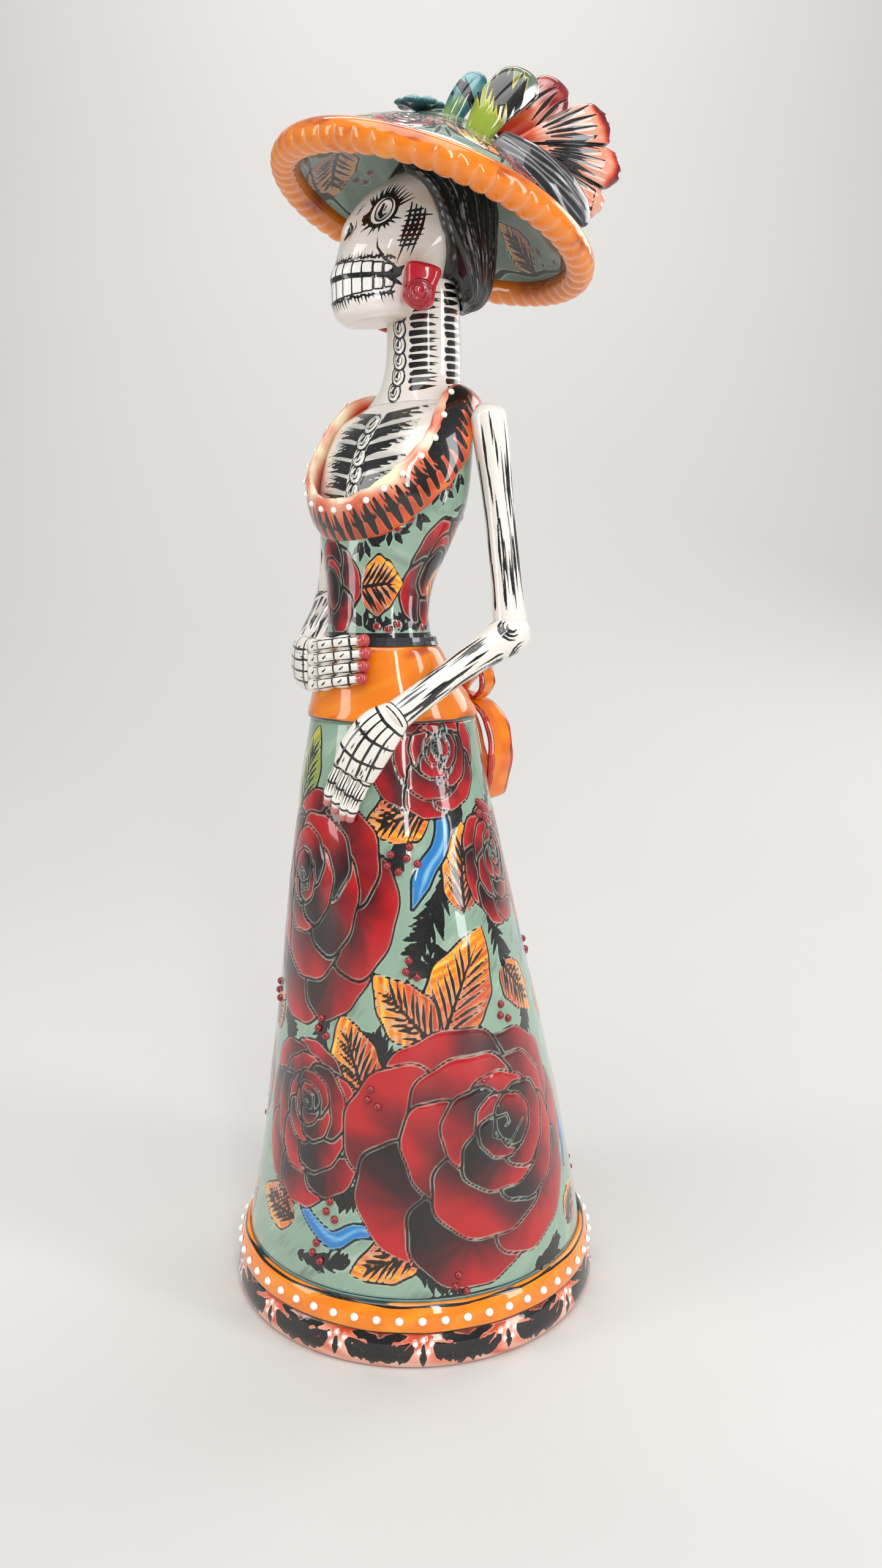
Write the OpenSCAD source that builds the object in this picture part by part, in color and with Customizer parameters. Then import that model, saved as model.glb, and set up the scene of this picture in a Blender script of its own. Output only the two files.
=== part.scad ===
// Catrina figure: a standing skeleton lady in a long flowered dress and a wide hat.
// It is built in clay as separate pieces, which are luted together, painted and glazed.
// Millimetres. Z is up, the lady faces -Y, and the origin is the middle of her foot ring.

/* [Skirt] */
// Outer radius of the foot ring that the figure stands on
foot_r = 56; // [54:0.5:58]
// Height of the foot ring
foot_h = 10; // [8:0.5:12]
// Height of the hips, where the skirt ends and the bodice starts
hip_z = 176; // [174:0.5:178]
// Radius of the skirt at the hips
hip_r = 24; // [23:0.25:25]
// How far the hips stand forward of the foot ring
hip_lean = 8.9; // [8:0.1:10]
// Wall of the hollow skirt
skirt_wall = 4; // [3:0.5:5]
// Height of the beaded band above the foot ring
band_h = 8; // [6:0.5:9]
// Number of slip beads on the band
band_beads = 54; // [30:1:64]

/* [Bodice] */
// Height of the shoulders' top
shoulder_z = 264; // [262:0.5:265]
// Half the width of the chest
chest_half_w = 24.5; // [23.5:0.25:25]
// Radius of the neck
neck_r = 11.2; // [9:0.2:11.4]
// Thickness of the sash round the waist
sash_t = 1.5; // [1:0.1:2]

/* [Head] */
// Turn of the head and hat towards the lady's right, in degrees
head_turn = 30; // [27:1:33]
// Height of the mouth line
mouth_z = 296.5; // [296:0.25:297]
// Half the width of the skull
skull_half_w = 15.4; // [14.8:0.2:15.8]

/* [Hat] */
// Radius of the brim, at the middle of its rolled edge
brim_r = 43.5; // [42:0.5:45]
// Radius of the rolled edge
roll_r = 4.2; // [3:0.1:4.3]
// Height of the crown above the rolled edge
crown_h = 26; // [25:0.5:27]
// Backward tilt of the hat, in degrees
hat_tilt = 19; // [18:0.5:20]
// Direction of that tilt, in degrees towards the lady's right
hat_lean = 8; // [6:1:10]

/* [Arms] */
// Radius of the upper arms
upper_arm_r = 4.9; // [4.4:0.1:5]
// Radius of the elbows
elbow_r = 5.6; // [5.2:0.1:5.8]
// Radius of the forearms at the wrist
wrist_r = 4; // [3.6:0.1:4.2]

/* [Hidden] */

GAP = 0.06;         // clearance between luted faces
BIG_FN = 96;        // sides of the large exact rings
SMALL_FN = 32;      // sides of small exact rounds
SKIRT_SIDES = 48;   // sides of the faceted skirt
LEAN_Z = 30;        // height where the skirt starts to lean forward

shoulder_dz = shoulder_z - 264;
neck_c = [0, 4.8];             // middle of the neck
head_c = [0, 3];               // axis that the head turns about
hat_c = [0, 4.4, mouth_z + 18.5]; // middle of the brim, in the turned head's frame
HAT_WALL = 3.2;                  // thickness of the hat, measured upright

// Bodice sections from the hips up: height, half width, half depth, middle in Y
torso_table = [
    [hip_z, hip_r, hip_r, -hip_lean],
    [182, 22, 20.6, -10.2],
    [190, 18.8, 16.8, -12.6],
    [198, 16.4, 13.8, -14.4],
    [205, 15.4, 12.8, -15],
    [215, 16.4, 13.6, -14],
    [225, 20, 16.2, -11.6],
    [235, chest_half_w - 1, 17.2, -9.3],
    [245, chest_half_w, 16.2, -7.4],
    [254, chest_half_w - 0.3, 14, -5],
    [260, 23.6, 12, -1.6],
    [shoulder_z, 17, 10.6, 1.6]
];

left_shoulder = [28.6, -1, 257.5 + shoulder_dz];
left_elbow = [34.8, 1.6, 200.5];
left_wrist = [20.5, -30.2, 179];
right_shoulder = [-28.6, -1, 257.5 + shoulder_dz];
right_elbow = [-37.5, 4, 209];
right_wrist = [-25, -19.4, 195];

// ---------- functions ----------

function unit(v) = v / norm(v);
function ease(t) = t * t * (3 - 2 * t);
function clamp01(t) = min(1, max(0, t));
function mix(a, b, t) = a + (b - a) * t;
function reversed(list) = [for (i = [len(list) - 1:-1:0]) list[i]];

// The skirt's middle in Y and its radius at a height
function skirt_y(z) = -hip_lean * ease(clamp01((z - LEAN_Z) / (hip_z - LEAN_Z)));
function skirt_r(z) = mix(foot_r - 1, hip_r, z / hip_z);

// One column of torso_table at a height
function torso_at(z, column) = lookup(z, [for (row = torso_table) [row[0], row[column]]]);

// A ring of points: middle, half sizes along X and Y, number of sides
function flat_ring(c, rx, ry, sides) =
    [for (i = [0:sides - 1]) let (a = 360 * i / sides) c + [rx * cos(a), ry * sin(a), 0]];
function skirt_ring(z, inset) =
    flat_ring([0, skirt_y(z), z], skirt_r(z) - inset, skirt_r(z) - inset, SKIRT_SIDES);
function torso_ring(z, outset) =
    flat_ring([0, torso_at(z, 3), z], torso_at(z, 1) + outset, torso_at(z, 2) + outset, 40);

// A point between p1 and p2 on a smooth curve through four points
function curve_point(p0, p1, p2, p3, t) =
    0.5 * (2 * p1 + (p2 - p0) * t + (2 * p0 - 5 * p1 + 4 * p2 - p3) * t * t
        + (3 * p1 - p0 - 3 * p2 + p3) * t * t * t);

// A smooth path through all the points, with some steps between each two
function open_path(p, steps) = let (n = len(p)) concat(
    [for (i = [0:n - 2], k = [0:steps - 1])
        curve_point(p[max(i - 1, 0)], p[i], p[i + 1], p[min(i + 2, n - 1)], k / steps)],
    [p[n - 1]]);
function closed_path(p, steps) = let (n = len(p))
    [for (i = [0:n - 1], k = [0:steps - 1])
        curve_point(p[(i + n - 1) % n], p[i], p[(i + 1) % n], p[(i + 2) % n], k / steps)];

// Rings of an oval section along a path. width and depth are the half sizes at each share of its
// length, as lookup tables, and up is the side that the depth faces.
function path_rings(path, width, depth, up, sides, closed) = let (n = len(path))
    [for (i = [0:n - 1]) let (
        before = path[closed ? (i + n - 1) % n : max(i - 1, 0)],
        after = path[closed ? (i + 1) % n : min(i + 1, n - 1)],
        along = unit(after - before),
        side = unit(cross(along, up)),
        face = cross(side, along),
        share = i / (n - 1),
        w = lookup(share, width),
        d = lookup(share, depth))
        [for (k = [0:sides - 1]) let (a = 360 * k / sides)
            path[i] + w * cos(a) * side + d * sin(a) * face]];

// ---------- shared shapes ----------

// A skin over a list of rings with equal numbers of points. A looped skin joins the last ring to
// the first, and an open one gets a cap at each end.
module skin(rings, looped = false, open_rings = false) {
    sides = len(rings[0]);
    count = len(rings);
    points = [for (ring = rings, p = ring) p];
    walls = [for (i = [0:count - (looped ? 1 : 2)], k = [0:sides - 1])
        let (next = (i + 1) % count, k2 = (k + 1) % sides)
        each [[i * sides + k, next * sides + k, next * sides + k2],
            [i * sides + k, next * sides + k2, i * sides + k2]]];
    far = (count - 1) * sides;
    strips = [for (k = [0:ceil(sides / 2) - 2]) each concat(
        k + 1 < sides - 2 - k ? [[k, k + 1, sides - 2 - k]] : [], [[k, sides - 2 - k, sides - 1 - k]])];
    caps = looped ? [] : open_rings ? concat(strips, [for (s = strips) [s[2], s[1], s[0]] + [far, far, far]]) : [
        [for (k = [0:sides - 1]) k],
        [for (k = [sides - 1:-1:0]) far + k]];
    polyhedron(points, concat(walls, caps), convexity = 6);
}

// An oval rod or strap along a smooth path
module strap(points, width, depth, up = [0, 0, 1], sides = 12, steps = 4) {
    skin(path_rings(open_path(points, steps), width, depth, up, sides, false));
}

// Puts the Z axis on the line from p to q
module along(p, q) {
    d = q - p;
    translate(p) rotate([0, acos(d[2] / norm(d)), atan2(d[1], d[0])]) children();
}

// A half bead whose flat face lies at p and faces away from the direction out
module half_bead(p, out, r) {
    along(p, p + out) intersection() {
        sphere(r, $fn = SMALL_FN);
        cylinder(h = 2 * r, r = 2 * r, $fn = SMALL_FN);
    }
}

// A long bone from p to q: knob radius at p, shaft radius, knob radius at q
module bone(p, q, ra, shaft, rb) {
    h = norm(q - p);
    along(p, q) rotate_extrude($fn = SMALL_FN) polygon(concat(
        [for (a = [-90:15:45]) ra * [cos(a), sin(a)]],
        [[shaft, 0.4 * h], [shaft, 0.6 * h]],
        [for (a = [-45:15:90]) [rb * cos(a), h + rb * sin(a)]]));
}

// A finger through its joints, with a knuckle at each third of its length
module finger(joints, r, up, steps) {
    knuckles = [[0, 0.9], [0.06, 1], [0.2, 0.84], [0.36, 1], [0.5, 0.82], [0.66, 0.94], [0.8, 0.8],
        [0.93, 0.84], [1, 0.4]];
    rs = [for (k = knuckles) [k[0], k[1] * r]];
    strap(joints, rs, rs, up, sides = 10, steps = steps);
}

// The mirror copy on the lady's other side
module mirrored() { mirror([1, 0, 0]) children(); }

// Frames of the turned head and of the tilted hat
module head_frame() { translate([head_c[0], head_c[1], 0]) rotate(-head_turn) children(); }
module hat_frame() {
    head_frame() translate(hat_c) rotate(-hat_lean) rotate([-hat_tilt, 0, 0]) rotate(hat_lean) children();
}

// ---------- skirt ----------

module foot_ring() {
    color("salmon") rotate_extrude($fn = BIG_FN) polygon([
        [foot_r - 8, 0], [foot_r - 1.5, 0], [foot_r - 0.4, 1], [foot_r, 3.5],
        [foot_r - 0.6, 7], [foot_r - 1.8, foot_h], [foot_r - 8, foot_h]]);
}

module hem_band() {
    low = foot_h + GAP;
    high = foot_h + band_h;
    color("orange") rotate_extrude($fn = BIG_FN) polygon([
        [skirt_r(low) + GAP, low], [skirt_r(low) + 1.7, low + 0.4],
        [skirt_r((low + high) / 2) + 2.1, (low + high) / 2],
        [skirt_r(high) + 1.5, high - 0.4], [skirt_r(high) + GAP, high]]);
}

module hem_beads() {
    z = foot_h + band_h / 2;
    r = skirt_r(z) + 2.15;
    color("white") for (i = [0:band_beads - 1])
        let (a = 360 * i / band_beads, out = [cos(a), sin(a), 0.1])
            half_bead([r * cos(a), r * sin(a), z], out, 1.15);
}

module skirt() {
    levels = [for (i = [0:11]) mix(foot_h + GAP, hip_z, i / 11)];
    color("darkseagreen") skin(concat(
        [for (z = levels) skirt_ring(z, 0)],
        [for (z = reversed(levels)) skirt_ring(z, skirt_wall)]), looped = true);
}

// Middles of the berry clusters between the roses: angle round the skirt from +X, and height
berry_spots = [
    [-43, 140], [-53, 138], [-47, 109], [-5, 93], [-65, 73], [-80, 39.5], [-84, 27], [-36, 21.5], [6, 150],
    [-88, 90.5], [42, 104], [70, 98], [48, 28], [105, 24], [112, 92], [128, 142], [160, 92], [178, 30],
    [196, 98], [212, 50], [232, 94]
];

// Raised berries in threes
module skirt_berries() {
    color("maroon") for (spot = berry_spots, k = [0:2]) {
        z = spot[1] + [0, 3, -1.6][k];
        a = spot[0] + [0, 1.4, 4.2][k] * 40 / skirt_r(z);
        r = skirt_r(z) + 0.1;
        half_bead([r * cos(a), skirt_y(z) + r * sin(a), z], [cos(a), sin(a), 0.2], 1.15);
    }
}

// ---------- bodice ----------

// The bodice's outer form, which other pieces are cut to fit
module torso_form() {
    skin([for (row = torso_table) torso_ring(row[0] + (row[0] == hip_z ? GAP : 0), 0)]);
}

module torso() {
    color("darkseagreen") difference() {
        torso_form();
        // Stick hole that lets the solid clay dry and fire
        translate([0, -10.5, hip_z - 1]) cylinder(h = 60, r = 3, $fn = SMALL_FN);
        // Seat for the neck's tenon
        translate([neck_c[0], neck_c[1], shoulder_z - 12])
            cylinder(h = 14, r = 5 + GAP, $fn = SMALL_FN);
    }
}

module sash() {
    levels = [for (i = [0:5]) mix(hip_z + 0.4, 197, i / 5)];
    color("orange") skin(concat(
        [for (z = levels) torso_ring(z, sash_t)],
        [for (z = reversed(levels)) torso_ring(z, 0.15)]), looped = true);
}

module bodice_belt() {
    levels = [197.2, 198.2, 199.4];
    color("dimgray") skin(concat(
        [for (z = levels) torso_ring(z, 1.1)],
        [for (z = reversed(levels)) torso_ring(z, 0.15)]), looped = true);
}

// Half of the collar's route, from the front round the lady's left to the back
collar_half = [
    [0, -28.8, 230.6], [10.4, -27, 232.8], [18.8, -21.6, 239.6], [23, -12.8, 249.5],
    [20.4, -4, 262.6], [16.5, 6, 265.6], [10.5, 14, 261.5], [0, 16.4, 258.5]
];
collar_route = concat(collar_half,
    [for (i = [len(collar_half) - 2:-1:1]) [-collar_half[i][0], collar_half[i][1], collar_half[i][2]]]);
collar_half_w = [[0, 6.6], [0.22, 6.6], [0.32, 4.8], [0.5, 3.6], [0.68, 4.8], [0.78, 6.6], [1, 6.6]];
COLLAR_MIDDLE = [0, -2, 244];

// At a point of a closed path: the direction across it and the direction out of the chest
function collar_across(path, i) = let (n = len(path))
    unit(cross(unit(path[(i + 1) % n] - path[(i + n - 1) % n]), unit(path[i] - COLLAR_MIDDLE)));
function collar_out(path, i) = let (n = len(path))
    cross(collar_across(path, i), unit(path[(i + 1) % n] - path[(i + n - 1) % n]));

module collar() {
    path = closed_path(collar_route, 3);
    n = len(path);
    color("orangered") difference() {
        skin([for (i = [0:n - 1]) let (
            across = collar_across(path, i),
            out = collar_out(path, i),
            w = lookup(i / n, collar_half_w))
            [for (k = [0:11]) let (a = 30 * k) path[i] + w * cos(a) * across + 1.9 * sin(a) * out]],
            looped = true);
        torso_form();
        neck_form(neck_r + 0.3);
        bone(left_shoulder, left_elbow, upper_arm_r + GAP, upper_arm_r, upper_arm_r);
        bone(right_shoulder, right_elbow, upper_arm_r + GAP, upper_arm_r, upper_arm_r);
    }
}

module collar_beads() {
    path = closed_path(collar_route, 4);
    n = len(path);
    color("white") for (i = [0:2:n - 1]) if (i < 0.3 * n || i > 0.7 * n)
        half_bead(path[i] + 1.55 * collar_out(path, i)
            - 0.62 * lookup(i / n, collar_half_w) * collar_across(path, i), collar_out(path, i), 0.9);
}

// The neck above the shoulders, and the flare that it stands on
module neck_form(r) {
    translate([neck_c[0], neck_c[1], shoulder_z + GAP]) rotate_extrude($fn = SMALL_FN) polygon([
        [0, 0], [r + 0.6, 0], [r, 3], [r - 0.7, 9], [r - 0.9, mouth_z - shoulder_z + 0.2],
        [0, mouth_z - shoulder_z + 0.2]]);
}

module neck() {
    color("ivory") {
        neck_form(neck_r);
        translate([neck_c[0], neck_c[1], shoulder_z - 10]) cylinder(h = 12, r = 5, $fn = SMALL_FN);
    }
}

// ---------- bow ----------

// The skirt's and the sash's outer form, which the bow is cut to fit
module dress_back() {
    skin([for (z = [120:14:hip_z]) skirt_ring(z, -GAP)]);
    skin([for (z = [hip_z - 1, 182, 190, 198]) torso_ring(max(z, hip_z), sash_t + GAP)]);
}

module bow_knot() {
    color("orange") difference() {
        translate([0, 16.6, 179.5]) rotate([90, 0, 0]) rotate_extrude($fn = SMALL_FN)
            polygon([for (a = [-90:15:90]) [4.2 * cos(a), 3.8 * sin(a)]]);
        dress_back();
    }
}

module bow_loop_left() {
    color("firebrick") difference() {
        skin(path_rings(closed_path([
            [5.4, 18.2, 178], [11, 19, 178.4], [16.4, 19.4, 172.5], [18, 19.4, 162],
            [14.8, 19.8, 150.5], [10, 20.6, 154.5], [6.8, 19.8, 167]], 4),
            [[0, 0.9], [1, 0.9]], [[0, 3.6], [0.3, 5], [0.7, 5], [1, 3.6]], [0.15, 1, 0.1], 10, true),
            looped = true);
        dress_back();
    }
}

module bow_small_loop_left() {
    color("firebrick") difference() {
        skin(path_rings(closed_path([
            [5.2, 17, 182.4], [8.6, 17.4, 186.4], [13.4, 16.8, 189], [15.4, 16, 184.6],
            [12, 17, 180.8], [8.2, 17.4, 180.8]], 3),
            [[0, 0.8], [1, 0.8]], [[0, 3], [1, 3]], [0.15, 1, 0.1], 8, true), looped = true);
        dress_back();
    }
}

module bow_tail_left() {
    color("orange") difference() {
        strap([[1.9, 18.6, 174.6], [2.8, 19.2, 167], [4, 20.6, 155], [5.2, 23, 141.5]],
            [[0, 1.4], [0.3, 2.2], [1, 3]], [[0, 0.9], [1, 0.9]], [0, 1, 0.2], sides = 10, steps = 3);
        dress_back();
    }
}

module bow_loop_right() mirrored() bow_loop_left();
module bow_small_loop_right() mirrored() bow_small_loop_left();
module bow_tail_right() mirrored() bow_tail_left();

// ---------- arms ----------

module upper_arm(shoulder, elbow) {
    color("ivory") difference() {
        bone(shoulder, mix(shoulder, elbow, 0.93), upper_arm_r, upper_arm_r - 0.4, upper_arm_r);
        translate(elbow) sphere(elbow_r + GAP, $fn = SMALL_FN);
        torso_form();
    }
}

module forearm(elbow, wrist) {
    color("ivory") bone(elbow, wrist, elbow_r, (elbow_r + wrist_r) / 2 - 1, wrist_r);
}

module left_upper_arm() upper_arm(left_shoulder, left_elbow);
module left_forearm() forearm(left_elbow, left_wrist);
module right_upper_arm() upper_arm(right_shoulder, right_elbow);
module right_forearm() forearm(right_elbow, right_wrist);

module left_palm() {
    color("ivory") difference() {
        strap([[20, -31, 178.4], [17, -33.9, 174.6], [13.4, -35.7, 169], [10.2, -36.5, 163]],
            [[0, 4.4], [0.35, 6.4], [0.7, 6.8], [1, 5.8]], [[0, 3.6], [0.4, 3.4], [1, 2.6]],
            [0.45, -1, 0], sides = 16, steps = 3);
        translate(left_wrist) sphere(wrist_r + GAP, $fn = SMALL_FN);
    }
}

module left_fingers() {
    across = [0.8, 0.3, -0.48];
    color("ivory") for (i = [0:3]) {
        side = i - 1.5;
        root = [10, -36.6, 162.7] + 2.95 * side * across;
        tip = [6.2, -38.4, 150.4 + 0.9 * abs(side - 0.3)] + 2.3 * side * across;
        finger([root, mix(root, tip, 0.5) + [0, -0.8, 0], tip], 1.45, [0.45, -1, 0], 6);
    }
}

module right_palm() {
    color("ivory") difference() {
        strap([[-25, -19.8, 194.8], [-21.6, -24.4, 192.8], [-16.4, -28, 191.4], [-10.6, -30.2, 191.2]],
            [[0, 4.4], [0.4, 7], [1, 7.2]], [[0, 3.4], [0.4, 3.2], [1, 2.6]],
            [-0.55, -1, 0], sides = 16, steps = 3);
        translate(right_wrist) sphere(wrist_r + GAP, $fn = SMALL_FN);
    }
}

module right_fingers() {
    color("ivory") for (i = [0:3]) {
        side = 1.5 - i;
        reach = 0.8 * abs(side - 0.4);
        finger([[-10.3, -30.5, 191.2 + 3.5 * side], [-6, -32.2, 191.7 + 3.5 * side],
            [2, -33.2, 192.8 + 3.4 * side], [12 - reach, -31, 193.9 + 3.3 * side]], 1.62, [0, -1, 0], 4);
    }
}

// ---------- head ----------

// Skull sections: height above the mouth line, half width, half depth, middle in Y
skull_table = [
    [0.3, 12.4, 16, -9], [3.6, 13.4, 16.6, -7.7], [8.5, 14.6, 18.1, -5], [13.5, 15.2, 19.2, -2],
    [21.5, skull_half_w, 18.2, 1.2], [26, 14.8, 15.5, 3.9], [29.5, 14, 12.6, 6.7], [34.5, 12, 9.3, 8.7],
    [38.5, 9.4, 7.1, 9.1], [42.5, 6, 4.4, 8.4]
];
// Jaw sections, whose front edges hang lower than their back edges
jaw_table = [
    [-10.4, 6.6, 7.4, -11.2], [-9, 9.4, 10.4, -11.4], [-6, 11.4, 12.4, -11.6], [-1.6, 12, 13, -11.8],
    [0, 12.2, 13.1, -11.8]
];
JAW_SLOPE = 0.14;

module skull() {
    color("ivory") intersection() {
        head_frame() skin([for (s = skull_table) flat_ring([0, s[3], mouth_z + s[0]], s[1], s[2], 32)]);
        under_hat();
    }
}

module jaw() {
    color("ivory") difference() {
        head_frame() skin([for (s = jaw_table) [for (p = flat_ring([0, s[3], mouth_z + s[0]], s[1], s[2], 32))
            p + [0, 0, s[0] < -1 ? JAW_SLOPE * (p[1] - s[3]) : 0]]]);
        translate([neck_c[0], neck_c[1], mouth_z - 16]) cylinder(h = 18, r = neck_r - 0.5, $fn = SMALL_FN);
    }
}

// Distance from the hair's middle to an oval, in a direction
HAIR_MIDDLE = 1;
function oval_reach(rx, ry, y, a) = let (
    m = HAIR_MIDDLE - y,
    qa = pow(cos(a) / rx, 2) + pow(sin(a) / ry, 2),
    qb = m * sin(a) / (ry * ry),
    qc = pow(m / ry, 2) - 1)
    (-qb + sqrt(qb * qb - qa * qc)) / qa;

// Hair sections: height above the mouth line, front edge's angle, outer half width, half depth, middle
hair_table = [
    [-4.5, 44, 14, 15.4, 2.2], [-2, 36, 15.6, 18.4, 1.8], [0.2, 30, 16.3, 19.4, 1.6], [2.9, 24, 17, 20.4, 1.4],
    [8.5, 13, 18, 21.2, 1.3], [13.5, 3, 18.4, 21.4, 1.3], [21.5, -12, 18.4, 21.3, 1.3], [26, -30, 17.9, 18.6, 3.2],
    [29.5, -50, 17, 15.4, 6], [32, -64, 16.2, 13.4, 7], [35, -70, 15.2, 11.8, 8]
];

// The hair lies on the back of the skull as a thick shell that is open at the face
module hair() {
    function inner(dz) = dz < 0.3 ? [12.4, 12.8, 0.4]
        : [for (k = [1:3]) lookup(dz, [for (s = skull_table) [s[0], s[k]]])] + (dz > 24 ? [0.9, 0.9, 0] : [0.3, 0.3, 0]);
    function arc(z, oval, a0, steps) = [for (i = [0:steps]) let (
        a = mix(a0, 180 - a0, i / steps), r = oval_reach(oval[0], oval[1], oval[2], a))
        [r * cos(a), HAIR_MIDDLE + r * sin(a), z]];
    color("darkslategray") intersection() {
        head_frame() skin([for (h = hair_table) let (z = mouth_z + h[0])
            concat(arc(z, [h[2], h[3], h[4]], h[1], 18), reversed(arc(z, inner(h[0]), h[1], 18)))],
            open_rings = true);
        under_hat();
    }
}

module earring_left() {
    color("crimson") head_frame() strap(
        [[15.9, -3.6, mouth_z + 2.9], [15.6, -4.4, mouth_z - 1.3], [15.2, -5.2, mouth_z - 5.5], [14.5, -5.8, mouth_z - 9.1]],
        [[0, 3.6], [0.15, 4.8], [0.5, 4.3], [0.75, 4.4], [1, 2.4]],
        [[0, 2.4], [0.3, 3.2], [0.8, 3], [1, 1.4]], [1, -0.3, 0], sides = 14, steps = 4);
}

module earring_right() {
    // Same earring on the other cheek
    head_frame() mirrored() rotate(head_turn) translate([-head_c[0], -head_c[1], 0]) earring_left();
}

// ---------- hat ----------

crown_profile = [
    [0, 1], [8, 0.97], [14, 0.89], [19, 0.76], [24, 0.65], [30, 0.52], [35, 0.38], [40, 0.2]
];

hat_outer = concat([for (p = crown_profile) [p[0], crown_h * p[1]]],
    [[brim_r - roll_r * 0.6, roll_r * 0.95]]);
hat_inner = [for (p = hat_outer) [max(0, p[0] - (p[0] > 20 ? 0.9 : 0)), p[1] - HAT_WALL + (p[0] > 38 ? 0.6 : 0)]];

module hat() {
    color("darkseagreen") hat_frame() difference() {
        rotate_extrude($fn = BIG_FN) polygon(concat(hat_outer, reversed(hat_inner)));
        rotate_extrude($fn = BIG_FN) translate([brim_r, 0]) circle(roll_r + GAP, $fn = SMALL_FN);
    }
}

// The room under the hat, which the head fills up to the hat's lining
module under_hat() {
    hat_frame() rotate_extrude($fn = BIG_FN) polygon(concat(
        [for (p = hat_inner) if (p[0] < 38) [p[0], p[1] - GAP]], [[38, -60], [0, -60]]));
}

// Ornaments are cut to the hat that they stand on
module on_hat() {
    hat_frame() difference() {
        children();
        rotate_extrude($fn = BIG_FN) polygon(concat(
            [for (p = hat_outer) p + [0, GAP]], [[brim_r - 2, -2], [0, -2]]));
        rotate_extrude($fn = BIG_FN) translate([brim_r, 0]) circle(roll_r + GAP, $fn = SMALL_FN);
    }
}

module hat_roll() {
    color("darkorange") hat_frame() rotate_extrude($fn = BIG_FN)
        translate([brim_r, 0]) circle(roll_r, $fn = SMALL_FN);
}

// Ornaments in the hat's own frame. A petal is a thick leaf along a path: root, middle and end half widths
module petal(points, root, w, thick, up) {
    strap(points, [[0, root], [0.35, mix(root, w, 0.7)], [0.72, w], [0.9, w * 0.8], [1, w * 0.4]],
        [[0, thick * 0.7], [0.5, thick], [0.85, thick], [1, thick * 0.5]], up, sides = 16, steps = 4);
}

// The fan of clay plumes stands on the crown's left side, with its broad face to the left. It is
// swept through an angle above the level, and each of its three lobes is a scallop of that sweep.
fan_root = [19.6, 6.4, 18.2];
fan_edges = [-14, 6, 26, 50];
fan_reach = [[-14, 31], [-3, 33.5], [16, 37], [38, 34], [50, 31]];
FAN_T = 2.7;

function fan_section(lobe, t) = let (
    a = mix(fan_edges[lobe], fan_edges[lobe + 1], t),
    bulge = sqrt(1 - pow(2 * t - 1, 2)),
    reach = lookup(a, fan_reach) * (0.85 + 0.15 * bulge),
    shares = [0.08, 0.25, 0.45, 0.65, 0.82, 0.94, 1],
    half_t = FAN_T * (0.6 + 0.4 * bulge),
    face = function (side) [for (s = shares) let (
        x = 1.6 * sin(180 * s) - 1.4 * s + side * half_t * lookup(s, [[0, 0.8], [0.5, 1], [0.8, 0.95], [1, 0.4]]))
        fan_root + [x, s * reach * cos(a), s * reach * sin(a)]])
    concat(face(1), reversed(face(-1)));

module plume() {
    color("lightsalmon") on_hat() skin(concat(
        [for (lobe = [0:2], t = [0, 0.12, 0.3, 0.5, 0.7, 0.88]) fan_section(lobe, t)],
        [fan_section(2, 1)]));
}

// A darker lobe behind the fan
module plume_lobe() {
    color("tomato") on_hat()
        petal([[14, 7, 23], [14.6, 11.5, 31.5], [14, 16.5, 38.5], [13, 21.5, 43]], 3, 6.6, 2.3, [1, -0.4, 0.2]);
}

module leaf_green_form() {
    petal([[20, -1, 16.6], [21.5, 0.6, 24.6], [21, 4.4, 32.4], [19, 9, 39]], 3.4, 6.2, 2, [1, -0.5, 0.1]);
}

module leaf_green() {
    color("olivedrab") on_hat() leaf_green_form();
}

module leaf_teal() {
    color("teal") on_hat()
        petal([[12, -7, 20], [12.6, -6.2, 26], [12.6, -4.4, 31.4], [12, -2, 36]], 2.4, 3.8, 1.7, [1, -0.5, 0.1]);
}

module leaf_back() {
    color("olivedrab") on_hat()
        petal([[-5, 17, 20.5], [-8, 26, 20.6], [-10, 32, 18], [-11.5, 37.5, 13.5]], 2.6, 6.2, 2, [0, 0.45, 1]);
}

// A long dark feather that lies on the brim in front of the fan
module hat_feather() {
    color("dimgray") on_hat() difference() {
        strap([[25, 3.5, 17.4], [29.5, 12, 15], [31, 22.5, 11.8], [28.2, 34, 8]],
            [[0, 3.8], [0.4, 6.2], [0.75, 5.6], [1, 2.2]], [[0, 1.4], [0.5, 1.6], [1, 0.8]],
            [0.8, -0.1, 1], sides = 12, steps = 4);
        leaf_green_form();
    }
}

// A clay flower on the crown, with separate petals round a bud
module clay_rose(p, out, petals = 5, reach = 4.3, half = 2.5) {
    on_hat() along(p, p + out) {
        for (i = [0:petals - 1]) rotate(360 / petals * i) translate([reach, 0, 0.6]) rotate([0, 24, 0])
            rotate_extrude($fn = 24) polygon([for (a = [-90:30:90]) [half * cos(a), 1.5 * sin(a)]]);
        translate([0, 0, 1.8]) sphere(1.8, $fn = 24);
    }
}

module teal_flower() {
    color("teal") clay_rose([2, -13.5, crown_h - 1.6], [0.1, -0.3, 1], 7, 5.7, 2.4);
}

module rose_front() color("firebrick") clay_rose([-13, -17, 20.6], [-0.45, -0.5, 1]);
module rose_back() color("firebrick") clay_rose([-20, 12, 19.4], [-0.7, 0.35, 1]);

// ---------- pieces ----------

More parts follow.
